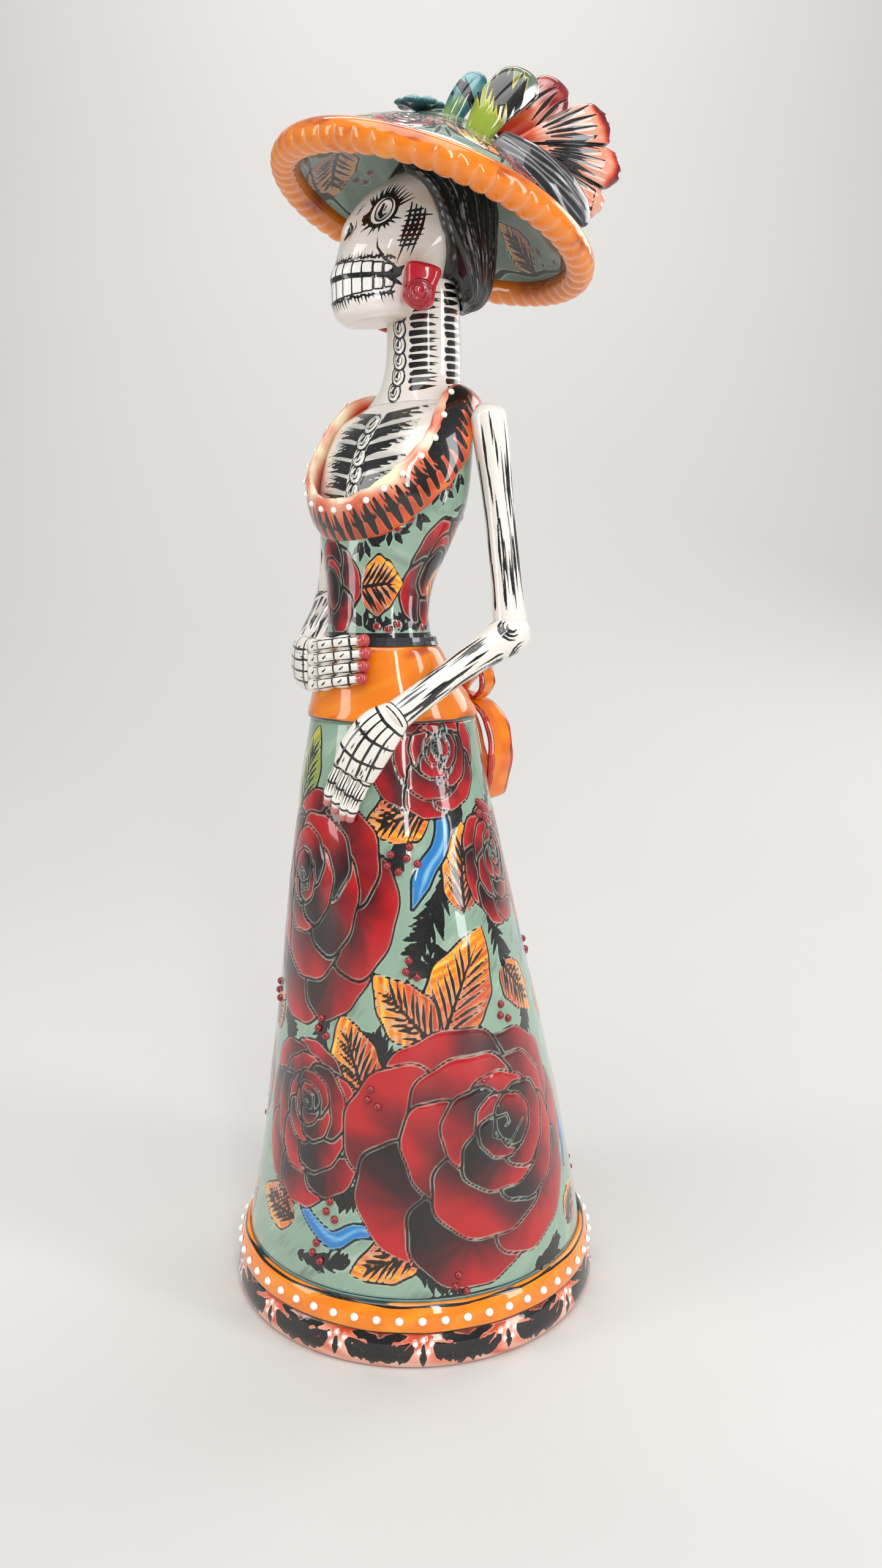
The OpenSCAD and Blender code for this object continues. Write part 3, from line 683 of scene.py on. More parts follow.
class Painter:
    """Lays flowers, leaves and strokes on one skin."""

    def __init__(self, skin: Skin, mm_per_degree: Union[float, Any], seed: int) -> None:
        """Takes a skin to paint.

        Args:
            skin: the skin.
            mm_per_degree: width of a degree, as a number or as a function of the height.
            seed: a number that fixes the brush's small accidents.
        """
        self.skin = skin
        self.scale = mm_per_degree if callable(mm_per_degree) else (lambda _: mm_per_degree)
        self.rng = np.random.default_rng(seed)
        self.grain = Grain(seed)

    def local(self, points: Sequence[Point], angle: float, along: float) -> list[tuple[float, float]]:
        """Turns angles and heights into flat millimetres round a place."""
        k = self.scale(along)
        return [((a - angle) * k, z - along) for a, z in points]

    def rose(self, angle: float, along: float, rx: float, ry: float, bud: Point, turn: float = 0.0,
             lift: float = 0.14, layers: Sequence[tuple[int, float, float, float]] = ROSE,
             rich: Sequence[Glaze] = (Glaze.SOOT_RED, Glaze.NIGHT_RED, Glaze.MAROON, Glaze.CRIMSON,
                                      Glaze.RED)) -> None:
        """Paints a rose, petal over petal, from the outside to the bud.

        Args:
            angle: its middle's angle.
            along: its middle's height.
            rx: half its width.
            ry: half its height.
            bud: where the bud is, from the middle.
            turn: angle that the petals start from, in degrees.
            lift: how much each layer of petals is raised.
            layers: number, distance, size and shift to the bud of each round of petals.
            rich: the petals' colours from the root to the rim.
        """
        spot = self.skin.near(angle, along, rx * 1.2, ry * 1.2)
        if not len(spot.index):
            return
        squeeze = rx / ry
        px, py, keep = spot.x / squeeze, spot.y, min(1.0, squeeze)
        for depth, (count, ring, size, share) in enumerate(layers):
            begin = math.radians(turn) + depth * 0.7
            for j in range(count):
                t = begin + 2 * math.pi * j / count + self.rng.normal(0, 0.07)
                cx = share * bud[0] / squeeze + ring * ry * math.cos(t)
                cy = share * bud[1] + ring * ry * math.sin(t)
                r = size * ry * self.rng.uniform(0.93, 1.1)
                dx, dy = px - cx, py - cy
                out = dx * math.cos(t) + dy * math.sin(t)
                side = dy * math.cos(t) - dx * math.sin(t)
                th = np.arctan2(side * 0.86, out)
                wobble = 1 + 0.035 * np.sin(3 * th + 9 * t) + 0.022 * np.sin(8 * th + 5 * t)
                edge = (np.hypot(out * 1.06, side * 0.84) - r * wobble) * keep
                reach = (out / r + 1.15) / 2.15
                streak = self.grain(th * 2.4 + 3 * j, reach * 0.7 + depth, 1.8)
                smoke = self.grain(px + 9 * j, py + 7 * depth, 0.6 * ry)
                dusk = self.rng.uniform(-0.05, 0.22) + 0.04 * depth
                shade = self.rng.choice([-0.34, 0.34]) * side / r
                tone = ramp(1.42 * reach - 0.26 - dusk + shade + 0.05 * streak + 0.16 * smoke, rich)
                spot.fill(edge, tone, 0.5, lift * (1 + 0.5 * depth))
        bx, by = bud
        if len(layers) < 4:
            return
        curl = [(bx + squeeze * ry * (0.02 + 0.028 * k) * math.cos(1.25 * k + turn),
                 by + ry * (0.02 + 0.028 * k) * math.sin(1.25 * k + turn)) for k in range(7)]
        spot.stroke(curl, [0.3, 0.55, 0.3])

    def leaf(self, root: Point, tip: Point, half: float, warm: bool = True, veins: int = 7,
             line: float = 0.6) -> None:
        """Paints a leaf with brushed veins.

        Args:
            root: angle and height of its root.
            tip: angle and height of its tip.
            half: half its width.
            warm: whether it is yellow and orange; green if not.
            veins: number of veins on each side.
            line: width of its outline.
        """
        angle, along = (root[0] + tip[0]) / 2, (root[1] + tip[1]) / 2
        (ax, ay), (bx, by) = self.local([root, tip], angle, along)
        size = math.hypot(bx - ax, by - ay)
        spot = self.skin.near(angle, along, size / 2 + half + 1).aimed((ax, ay), (bx, by))
        if not len(spot.index):
            return
        s = spot.x / size
        inside = np.clip(s, 0.0, 1.0)
        wide = half * np.sin(math.pi * inside**0.72) ** 0.8 * (1 + 0.04 * np.sin(inside * 19 + ax))
        depth = (np.abs(spot.y) - wide) * 0.88
        past = np.hypot(np.clip(np.maximum(-spot.x, spot.x - size), 0, None), spot.y)
        depth = np.where((s < 0) | (s > 1), past, depth)
        drag = self.grain(spot.y * 1.6 + spot.x, spot.x * 0.4, 5.0)
        if warm:
            colours = (Glaze.RUST, Glaze.VERMILION, Glaze.ORANGE, Glaze.AMBER, Glaze.YELLOW, Glaze.CREAM)
            tone = ramp(0.14 + 0.42 * s + 0.26 * spot.y / half + 0.26 * drag, colours)
        else:
            tone = ramp(0.3 + 0.4 * s + 0.25 * spot.y / half + 0.2 * drag,
                        (Glaze.OLIVE, Glaze.LEAF, Glaze.YELLOW))
        spot.fill(depth, tone, line, 0.16)
        spot.stroke([(0, 0), (size * 0.55, 0.05 * half), (size * 0.86, 0)], [1.0, 0.7, 0.2])
        for k in range(veins):
            at = 0.62 * k / max(veins - 1, 1)
            go = 0.34 - 0.16 * at
            for side in (-1, 1):
                w = half * math.sin(math.pi * min(at + go, 1) ** 0.72) ** 0.8 * self.rng.uniform(0.74, 0.92)
                sx = size * at + self.rng.normal(0, 0.2)
                spot.stroke([(sx, side * 0.15), (sx + size * go * 0.5, side * w * 0.45),
                             (sx + size * go, side * w)],
                            [0.35, 0.95, 0.2])

    def ribbon(self, route: Sequence[Point], half: Sequence[float]) -> None:
        """Paints a blue ribbon.

        Args:
            route: angle and height of each point on it.
            half: its half width along the route.
        """
        angle, along = np.mean([p[0] for p in route]), np.mean([p[1] for p in route])
        flat = spline(self.local(route, angle, along), 22)
        reach = float(np.abs(flat).max()) + 6
        spot = self.skin.near(angle, along, reach)
        wide = [2 * h for h in half]
        depth = spot.reach(flat.tolist(), wide)
        shift = (flat + [0.9, 0.5]).tolist()
        shine = smooth(0.6, -1.4, spot.reach(shift, [w * 0.45 for w in wide]))
        spot.fill(depth, ramp(shine + 0.1 * self.grain(spot.x, spot.y, 9),
                              (Glaze.BLUE, Glaze.BLUE, Glaze.BLUE_PALE)), 0.65, 0.14)

    def fern(self, angle: float, along: float, heading: float, size: float, count: int = 6,
             spread: float = 95.0,
             width: float = 1.9) -> None:
        """Paints a tuft of dark brush strokes.

        Args:
            angle: its root's angle.
            along: its root's height.
            heading: the way it points, in degrees from X.
            size: length of the middle stroke.
            count: number of strokes.
            spread: angle between the first and the last stroke.
            width: width of a stroke.
        """
        spot = self.skin.near(angle, along, size * 1.35)
        for k in range(count):
            share = k / max(count - 1, 1) - 0.5
            t = math.radians(heading + spread * share + self.rng.normal(0, 3))
            bend = math.radians(18 * share)
            length = size * (1 - 0.5 * abs(share)) * self.rng.uniform(0.85, 1.12)
            c, s = math.cos(t), math.sin(t)
            aim = math.radians(heading)
            ox, oy = -0.5 * size * share * math.sin(aim), 0.5 * size * share * math.cos(aim)
            e = (ox + length * math.cos(t + bend), oy + length * math.sin(t + bend))
            spot.stroke([(ox + 0.1 * length * c, oy + 0.1 * length * s),
                         (ox + 0.62 * length * c, oy + 0.62 * length * s), e],
                        [0.4, width, width * 0.8, 0.4])

    def spray(self, route: Sequence[Point], size: float, count: int, width: float = 1.45) -> None:
        """Paints a curved stem with dark strokes on both sides.

        Args:
            route: angle and height of each point on the stem.
            size: length of a stroke.
            count: number of pairs of strokes.
            width: width of a stroke.
        """
        angle, along = np.mean([p[0] for p in route]), np.mean([p[1] for p in route])
        flat = spline(self.local(route, angle, along), count + 2)
        spot = self.skin.near(angle, along, float(np.abs(flat).max()) + size + 1)
        for k in range(count + 1):
            d = unit(flat[k + 1] - flat[k])
            swell = 0.6 + 0.5 * math.sin(math.pi * (k + 0.5) / (count + 1))
            grow = size * swell * self.rng.uniform(0.85, 1.15)
            for side in (-1, 1):
                t = math.atan2(d[1], d[0]) + side * math.radians(self.rng.uniform(30, 48))
                e = flat[k] + grow * np.array([math.cos(t), math.sin(t)])
                spot.stroke([flat[k], (flat[k] + e) / 2, e], [1.2, width, 0.3])
        spot.stroke(flat.tolist(), [0.6, 1.9, 1.5, 0.5])

    def dots(self, places: Sequence[Point], size: float, colour: Glaze, lift: float = 0.0,
             line: float = 0.0) -> None:
        """Paints round dots.

        Args:
            places: angle and height of each.
            size: their radius.
            colour: their glaze.
            lift: how much they are raised.
            line: width of their outline.
        """
        for a, z in places:
            spot = self.skin.near(a, z, size + 1)
            spot.fill(np.hypot(spot.x, spot.y) - size, colour, line, lift)


def ground(skin: Skin, seed: int, colours: Sequence[Glaze], size: float = 18.0, swing: float = 0.35) -> None:
    """Lays an uneven ground."""
    x, y = skin.grid
    skin.colour(ramp(0.5 + swing * Grain(seed)(x, y, size) + 0.12 * Grain(seed + 1)(x, y * 0.4, 3.0),
                     colours))


# ---------- dress ----------


# Sprays on the skirt: route as angles and heights, length of a stroke, pairs of strokes
SKIRT_SPRAYS = (
    ([(-22, 136), (-28, 128), (-36, 120), (-45, 113)], 6.5, 11),
    ([(-26, 106), (-34, 109), (-46, 110)], 5.5, 8),
    ([(-34, 116), (-28, 108), (-30, 100)], 5, 7), ([(0, 122), (4, 112), (10, 104)], 5, 7),
    ([(-44, 148), (-46, 142), (-52, 136)], 4.5, 6), ([(-8, 152), (-12, 150), (-16, 148)], 4, 5),
    ([(-55, 76), (-58, 84), (-62, 92)], 5.5, 8), ([(-84, 94), (-87, 88), (-86, 80)], 4.5, 6),
    ([(-66, 50), (-70, 45), (-76, 42)], 4.5, 6), ([(-90, 25), (-80, 25), (-70, 28)], 4.5, 7),
    ([(-112, 92), (-108, 88), (-104, 84)], 4.5, 6), ([(14, 94), (11, 87), (6, 82)], 5, 7),
    ([(-48, 27), (-41, 23), (-32, 21)], 5, 7), ([(-6, 20), (2, 21), (8, 24)], 4.5, 6),
    ([(34, 96), (40, 104), (46, 112)], 5, 6), ([(62, 94), (70, 98), (80, 96)], 5, 5),
    ([(40, 24), (50, 22), (58, 20)], 4, 5), ([(100, 20), (106, 26), (112, 22)], 5, 5),
    ([(108, 94), (116, 92), (126, 90)], 5, 6), ([(128, 138), (134, 146), (130, 154)], 4, 5),
    ([(150, 92), (160, 92), (172, 94)], 4, 5), ([(172, 24), (180, 30), (190, 34)], 5, 6),
    ([(192, 92), (200, 98), (206, 90)], 5, 5), ([(208, 40), (214, 50), (220, 46)], 4, 5),
    ([(226, 98), (234, 94), (240, 96)], 4, 5), ([(84, 150), (90, 158), (100, 164)], 4, 5),
    ([(20, 152), (28, 158), (30, 166)], 4, 5), ([(150, 150), (160, 146), (172, 150)], 4, 5))

# Leaves on the skirt: root and tip as angle and height, half width, warm or green
SKIRT_LEAVES = (
    ((-29, 153), (-66, 148), 7.4, True), ((-16, 124), (-9, 149), 6.8, True),
    ((-34, 91), (-8, 119), 10.2, True), ((-38, 89), (-61, 108), 8.0, True), ((3, 107), (19, 90), 6.4, True),
    ((-66, 74), (-76, 96), 7.6, True), ((-94, 34), (-116, 36), 6.4, True), ((-46, 33), (-70, 24), 6.4, True),
    ((-119, 150), (-106, 175), 6.8, False), ((16, 24), (28, 34), 5.5, True),
    ((34, 150), (30, 128), 6.0, True),
    ((33, 84), (48, 98), 6.5, True), ((74, 92), (92, 84), 6.5, True), ((86, 146), (76, 168), 6.0, False),
    ((112, 84), (126, 96), 6.5, True), ((138, 92), (148, 108), 6.5, True),
    ((140, 130), (146, 154), 6.2, True),
    ((184, 90), (176, 104), 6.5, True), ((186, 142), (178, 162), 5.5, False),
    ((196, 76), (214, 88), 6.8, True),
    ((110, 36), (126, 24), 6.0, True), ((192, 26), (206, 36), 6.4, True), ((222, 18), (234, 34), 5.6, True),
    ((214, 148), (222, 168), 5.4, False), ((66, 20), (82, 26), 5.5, True), ((232, 84), (244, 96), 5.4, True))

# Blue ribbons on the skirt: route as angles and heights, half widths
SKIRT_RIBBONS = (
    ([(-27, 155), (-22, 149), (-25, 142), (-34, 136), (-43, 126)], (1.4, 2.3, 2.7, 2.9, 0.4)),
    ([(-93, 43), (-88, 37), (-77, 32), (-68, 36), (-54, 35.5)], (1.0, 2.0, 2.6, 2.0, 0.4)),
    ([(36, 120), (34, 112), (40, 104), (50, 100)], (0.6, 3.2, 3.2, 0.5)),
    ([(118, 100), (122, 108), (132, 104), (136, 94)], (0.6, 3.2, 3.2, 0.5)),
    ([(180, 74), (186, 64), (196, 70), (204, 62)], (0.6, 3.4, 3.4, 0.5)),
    ([(20, 60), (27, 50), (22, 40)], (0.6, 3.0, 0.6)),
    ([(100, 172), (108, 162), (104, 152)], (0.6, 3.0, 0.6)))

# Roses on the skirt: angle, height, half width, half height, place of the bud, turn of the petals
SKIRT_ROSES = (
    (12, 135, 12.5, 17, (2, 3), 40), (-27, 167, 16, 17, (3, 2), 15), (-93, 62, 20, 24, (1, 6), 70),
    (-95, 124, 25, 33, (-6, 8), 100), (-24, 56, 38.5, 36, (9, 7), 5), (78, 56, 32, 33, (-5, 6), 30),
    (158, 54, 27, 29, (5, 5), 65), (50, 124, 13, 17, (0, 4), 10), (105, 121, 18, 24, (4, 3), 85),
    (165, 122, 17, 21, (-3, 4), 20), (206, 118, 13, 17, (2, 2), 45), (222, 66, 12, 17, (1, 3), 5),
    (60, 163, 11, 13, (0, 2), 75), (125, 165, 11, 12, (1, 1), 30), (198, 166, 11, 12, (1, 1), 55),
    (160, 166, 8, 10, (1, 1), 15))


@dataclass
class Skirt:
    """The hollow flowered skirt with its foot ring and hem band."""

    foot_r: float = 56.0
    foot_h: float = 10.0
    hip_r: float = 24.0
    hip_z: float = 176.0
    lean: float = 8.9
    lean_z: float = 30.0
    wall: float = 4.0
    band_h: float = 8.0
    rows: int = 226
    columns: int = 420

    def radius(self, z: Union[float, Array]) -> Union[float, Array]:
        """Outer radius at a height."""
        return self.foot_r - 1 + (self.hip_r - self.foot_r + 1) * z / self.hip_z

    def middle(self, z: Array) -> Array:
        """How far the skirt has leaned forward at a height."""
        return -self.lean * smooth(self.lean_z, self.hip_z, z)

    def angles(self) -> Array:
        """Column angles, closer together where the main view looks.

        Returns:
            Angles from 0 to 360.
        """
        fine = np.linspace(0, 360, 3601)
        weight = np.where((fine < 48) | (fine > 226), 1.7, 1.0)
        total = np.concatenate([[0], np.cumsum(weight[:-1])])
        return np.interp(np.linspace(0, total[-1], self.columns, endpoint=False), total, fine)

    def ring(self, z: float, inset: float, angles: Array) -> Array:
        """One level ring of the skirt.

        Args:
            z: its height.
            inset: how far it is inside the outer face.
            angles: angle of each point.

        Returns:
            The ring's points.
        """
        a = np.radians(angles)
        r = self.radius(z) - inset
        return np.stack([r * np.cos(a), float(self.middle(np.array(z))) + r * np.sin(a),
                         np.full(len(a), z)], 1)

    def skin(self) -> Skin:
        """Builds the double wall.

        Returns:
            The bare skin.
        """
        low, angles = self.foot_h + 0.06, self.angles()
        outer = np.linspace(low, self.hip_z, self.rows)
        inner = np.linspace(self.hip_z, low, 9)
        rings = [self.ring(z, 0, angles) for z in outer] + [self.ring(z, self.wall, angles) for z in inner]
        return Skin(rings, Glaze.SAGE, np.append(outer, np.full(9, UNSEEN)), angles, looped=True)

    def paint(self, skin: Skin) -> None:
        """Paints the flowers.

        Args:
            skin: the skirt's skin.
        """
        ground(skin, 3, (Glaze.SAGE_GREY, Glaze.SAGE, Glaze.SAGE, Glaze.SAGE_PALE), 16.0)
        brush = Painter(skin, lambda z: self.radius(z) * math.pi / 180, 11)
        for spray, size, count in SKIRT_SPRAYS:
            brush.spray(spray, size, count)
        for root, tip, half, warm in SKIRT_LEAVES:
            brush.leaf(root, tip, half, warm)
        for route, half in SKIRT_RIBBONS:
            brush.ribbon(route, half)
        for angle, z, rx, ry, bud, turn in SKIRT_ROSES:
            brush.rose(angle, z, rx, ry, bud, turn)
        spot = skin.near(0, self.foot_h + self.band_h, ALL_ROUND, 1.6)
        spot.stroke([(-400, 1.0), (400, 1.0)], [0.7])
        spot.tint(smooth(1.6, 0.4, spot.y) * 0.8, Glaze.TEAL)

    def foot(self) -> Skin:
        """Builds and paints the foot ring.

        Returns:
            The painted skin.
        """
        r, h = self.foot_r, self.foot_h
        profile = spline([(r - 8, 0.3), (r - 6, 0), (r - 1.9, 0), (r - 0.7, 1), (r, 3.6), (r - 0.6, 7),
                          (r - 1.8, h - 0.1),
                          (r - 2.6, h), (r - 8, h), (r - 8, 5)], 54, closed=True)
        a = np.radians(np.arange(520) * 360 / 520)
        rr = np.repeat(np.minimum(profile[:, :1], r), len(a), 1)
        z = np.clip(np.repeat(profile[:, 1:], len(a), 1), 0, h)
        rings = np.stack([rr * np.cos(a), rr * np.sin(a), z], -1)
        outside = profile[:, 0] > r - 2.2
        skin = Skin(rings, Glaze.PINK, np.where(outside, profile[:, 1], UNSEEN), looped=True)
        x, y = skin.grid
        skin.colour(ramp(0.1 + 0.06 * y + 0.34 * Grain(31)(x, y * 2, 14),
                         (Glaze.PINK, Glaze.SALMON, Glaze.VERMILION, Glaze.RUST)))
        brush = Painter(skin, r * math.pi / 180, 17)
        for k in range(14):
            a0 = 360 / 14 * k + 5
            spot = skin.near(a0 + 12.8, 4.8, 12)
            spot.tint(smooth(1.0, 0.4, np.hypot(spot.x / 8.5, (spot.y - 2) / 5.5)) * 0.8, Glaze.RUST)
            spot.tint(smooth(1.0, 0.1, np.hypot(spot.x / 4.5, (spot.y - 3) / 3.4)) * 0.9, Glaze.BLACK)
            for side in (-1, 1):
                for j in range(5):
                    brush.fern(a0 + side * (3.4 + 2.2 * j), 8.0 - 0.25 * j, -90 + side * (64 - 8 * j), 6.4,
                               3, 44, 2.3)
            brush.fern(a0, 9.0, -90, 7.8, 3, 60, 2.3)
            brush.dots([(a0 - 2.4, 7.6), (a0 + 2.4, 7.6), (a0, 8.4), (a0 - 1.3, 5.4), (a0 + 1.3, 5.4)],
                       0.72, Glaze.SLIP, 0.5)
        return skin

    def band(self) -> Skin:
        """Builds and paints the hem band.

        Returns:
            The painted skin.
        """
        low, high = self.foot_h + 0.06, self.foot_h + self.band_h
        mid = (low + high) / 2
        profile = spline([(self.radius(low) + 0.06, low), (self.radius(low) + 1.6, low + 0.4),
                          (self.radius(mid) + 2.1, mid),
                          (self.radius(high) + 1.4, high - 0.4), (self.radius(high) + 0.06, high)], 22)
        a = np.radians(np.arange(480) * 360 / 480)
        rings = np.stack([profile[:, :1] * np.cos(a), profile[:, :1] * np.sin(a),
                          np.repeat(profile[:, 1:], len(a), 1)], -1)
        skin = Skin(rings, Glaze.ORANGE, profile[:, 1], looped=True)
        x, y = skin.grid
        skin.colour(ramp(0.5 + 0.5 * Grain(8)(x, y, 20), (Glaze.ORANGE, Glaze.ORANGE, Glaze.AMBER)))
        wave = 0.35 * Grain(5)(x, 0.0, 24)
        skin.ink = np.minimum(np.abs(y - low - 0.5 + wave * 0.5), np.abs(y - high + 0.45 + wave)) - 0.3
        return skin

    def build(self) -> None:
        """Makes all the skirt's pieces."""
        skin = self.skin()
        self.paint(skin)
        skin.mesh("flowered_skirt", PAINTED, "skirt", slot="glaze_green")
        self.foot().mesh("foot_ring_glazed", Finish("foot_glaze", pale=Glaze.PINK, pool=Glaze.RUST),
                         "foot_ring", slot="foot_salmon")
        self.band().mesh("hem_band_glazed", ORANGE_GLAZE, "hem_band", slot="glaze_orange")
        dress(SLIP_DOT, "slip_white", "hem_beads")
        dress(BERRY, "glaze_berry", "skirt_berries")


# ---------- rods and straps ----------


def sections(path: Array, wide: Sequence[Point], thick: Sequence[Point], face: Point, sides: int,
             closed: bool = False, flat: float = 1.0) -> Array:
    """Puts oval rings along a path.

    Args:
        path: the middle line.
        wide: table of half width against the share of the length.
        thick: table of half thickness against the share of the length.
        face: the way that the thickness faces.
        sides: points in a ring.
        closed: whether the path is a loop.
        flat: exponent of the oval; below 1 it is squarer.

    Returns:
        The rings.
    """
    if closed:
        ahead = unit(np.roll(path, -1, 0) - np.roll(path, 1, 0))
    else:
        ahead = unit(np.gradient(path, axis=0))
    side = unit(np.cross(ahead, np.asarray(face, dtype=float)))
    front = np.cross(side, ahead)
    share = np.linspace(0, 1, len(path), endpoint=not closed)
    a = np.radians(np.arange(sides) * 360 / sides)
    c = np.sign(np.cos(a)) * np.abs(np.cos(a)) ** flat
    s = np.sign(np.sin(a)) * np.abs(np.sin(a)) ** flat
    w, d = table(share, wide)[:, None, None], table(share, thick)[:, None, None]
    return path[:, None] + w * c[:, None] * side[:, None] + d * s[:, None] * front[:, None]


def rounded(pairs: Sequence[Point], length: float, start: float, end: float,
            steps: int = 90) -> list[tuple[float, float]]:
    """Rounds the two ends of a table of half widths.

    Args:
        pairs: the table over shares of the length.
        length: the piece's length.
        start: radius of the rounding at the start.
        end: radius of the rounding at the end.
        steps: rows in the result.

    Returns:
        The finer table.
    """
    s = np.concatenate([[0, 0.004, 0.01, 0.02], np.linspace(0.035, 0.965, steps), [0.98, 0.99, 0.996, 1]])
    w = table(s, pairs)
    for gap, r in ((s * length, start), ((1 - s) * length, end)):
        if r > 0:
            t = np.clip(1 - gap / r, 0, 1)
            w = w * np.sqrt(np.clip(1 - t * t, 0.0004, 1))
    return list(zip(s, w))


def rod(points: Sequence[Point], radii: Sequence[Point], face: Point, ground_glaze: Glaze,
        count: int = 150, sides: int = 72,
        thick: Optional[Sequence[Point]] = None, ends: tuple[float, float] = (3.0, 3.0),
        flat: float = 1.0) -> Skin:
    """Rolls a rod or a leaf of clay along a curve.

    Args:
        points: the curve.
        radii: table of half width against the share of its length.
        face: the way that its face looks.
        ground_glaze: its first colour.
        count: number of rings.
        sides: points in a ring.
        thick: table of half thickness; the same as radii if it isn't given.
        ends: how far each end is rounded.
        flat: exponent of its oval.

    Returns:
        The bare skin.
    """
    path = spline(points, count)
    size = float(np.linalg.norm(np.diff(path, axis=0), axis=1).sum())
    w = rounded(radii, size, ends[0], ends[1])
    t = w if thick is None else rounded(thick, size, ends[0], ends[1])
    edge = np.concatenate([[0, 0.005, 0.015, 0.03], np.linspace(0.045, 0.955, count - 8),
                           [0.97, 0.985, 0.995, 1]])
    even = np.linspace(0, 1, count)
    path = np.stack([np.interp(edge, even, path[:, k]) for k in range(3)], 1)
    rings = sections(path, [(e, v) for e, v in zip(even, np.interp(edge, *zip(*w)))],
                     [(e, v) for e, v in zip(even, np.interp(edge, *zip(*t)))], face, sides, flat=flat)
    return Skin(rings, ground_glaze, edge * size)


# ---------- bodice ----------


@dataclass
class Bodice:
    """The bodice with the bare chest, the neck, the collar and the sash."""

    sash_t: float = 1.5
    sides: int = 300
    profile: tuple[tuple[float, float, float, float], ...] = (
        (176.06, 24, 24, -8.9), (182, 22, 20.6, -10.2), (190, 18.8, 16.8, -12.6), (198, 16.4, 13.8, -14.4),
        (205, 15.4, 12.8, -15), (215, 16.4, 13.6, -14), (225, 20, 16.2, -11.6), (235, 23.5, 17.2, -9.3),
        (245, 24.5, 16.2, -7.4), (254, 24.2, 14, -5), (260, 23.4, 12, -1.6), (264, 17, 10.6, 1.6))

    def rings(self, z: Array, outset: Union[float, Array] = 0.0) -> Array:
        """Level rings of the bodice.

        Args:
            z: their heights.
            outset: how far outside the bodice they are.

        Returns:
            The rings.
        """
        rows = [[(p[0], p[k]) for p in self.profile] for k in (1, 2, 3)]
        w, d, y = (table(z, r)[:, None] for r in rows)
        a = np.radians(np.arange(self.sides) * 360 / self.sides)
        out = np.broadcast_to(outset, z.shape)[:, None]
        return np.stack([(w + out) * np.cos(a), y + (d + out) * np.sin(a),
                         np.repeat(z[:, None], len(a), 1)], -1)

    def opening(self, angle: Array) -> Array:
        """Height of the bodice's neckline."""
        off = np.abs((angle + 90 + 180) % 360 - 180)
        return table(off, [(0, 230.6), (20, 232.8), (56, 239.6), (81, 249.5), (104, 262), (180, 263)])

    def chest(self) -> Skin:
        """Builds and paints the bodice.

        Returns:
            The painted skin.
        """
        z = np.linspace(176.06, 264, 190)
        skin = Skin(self.rings(z), Glaze.SAGE, z)
        ground(skin, 41, (Glaze.SAGE_GREY, Glaze.SAGE, Glaze.SAGE, Glaze.SAGE_PALE), 14.0)
        radii = [(p[0], (p[1] + p[2]) / 2) for p in self.profile]
        brush = Painter(skin, lambda h: float(table(np.array([h]), radii)[0]) * math.pi / 180, 43)
        for angle, h, heading, size in (
                (-72, 226, -60, 6), (-52, 229, -80, 6), (-36, 233, -95, 6), (-20, 240, -100, 6),
                (-6, 244, -110, 6),
                (-68, 202, 80, 5), (-50, 201, 95, 5), (-34, 201, 88, 5), (-18, 202, 80, 5), (0, 201, 90, 5),
                (20, 236, -90, 6), (60, 232, -90, 6), (100, 230, -80, 6), (140, 232, -90, 6),
                (180, 236, -90, 6),
                (40, 201, 90, 5), (80, 201, 90, 5), (120, 201, 90, 5), (160, 201, 90, 5), (200, 202, 90, 5)):
            brush.fern(angle, h, heading, size, 5, 100, 1.9)
        for angle, h, rx, ry, bud, turn in (
                (-106, 213, 9.5, 14, (-3, 2), 20), (4, 217, 9, 17, (2, 3), 40),
                (62, 215, 9.5, 15, (0, 3), 10),
                (128, 214, 9.5, 14, (1, 2), 60), (196, 216, 9, 15, (0, 2), 30)):
            brush.rose(angle, h, rx, ry, bud, turn, 0.14, PETALS)
        for root, tip, half, warm in (((-73, 213), (-28, 214), 8.2, True), ((24, 208), (44, 222), 5.5, True),
                                      ((94, 222), (98, 204), 5.0, True), ((160, 208), (166, 224), 5.0, True)):
            brush.leaf(root, tip, half, warm, 6)
        brush.dots([(-46, 228.5), (-38, 231), (-54, 202.5), (-30, 203), (-42, 201.6), (-12, 240), (4, 202),
                    (60, 202),
                    (100, 203), (140, 202), (30, 232), (80, 230), (120, 229),
                    (210, 203)], 1.15, Glaze.CRIMSON, 0.35)
        angles = np.tile(skin.angles, len(z))
        bare = self.opening(angles) - skin.along.ravel()
        full = Spot(skin, np.arange(len(skin.ink)), *skin.grid)
        full.fill(bare, Glaze.BONE, 0.7)
        low = skin.near(0, 199.6, ALL_ROUND, 3)
        low.stroke([(-90, 0.4), (90, 0.4)], [1.3])
        for k, h in enumerate(np.arange(234.5, 262, 4.6)):
            self.ribs(brush, -90, h + 1.4, 17.5 - 0.25 * k, 5 + k)
            self.vertebra(brush, -90 + 1.5 * math.sin(k), h, 2.35, 2.9)
        return skin

    @staticmethod
    def vertebra(brush: Painter, angle: float, along: float, wide: float, tall: float) -> None:
        """Paints one bone of the spine.

        Args:
            brush: the painter.
            angle: its angle.
            along: its height.
            wide: half its width.
            tall: half its height.
        """
        spot = brush.skin.near(angle, along, tall + 2)
        tilt = spot.x + 0.18 * spot.y
        depth = (np.hypot(tilt / wide, spot.y / tall) - 1) * wide
        spot.fill(depth, Glaze.BONE, 0.5, 0.3)
        inner = (np.hypot((tilt + 0.1) / (wide * 0.52), (spot.y - 0.1) / (tall * 0.58)) - 1) * wide * 0.5
        spot.fill(inner, Glaze.BONE, 0.32)
        spot.stroke([(0.15, 0.42 * tall), (-0.2, 0), (0.1, -0.25 * tall)], [0.5, 1.0, 0.4])

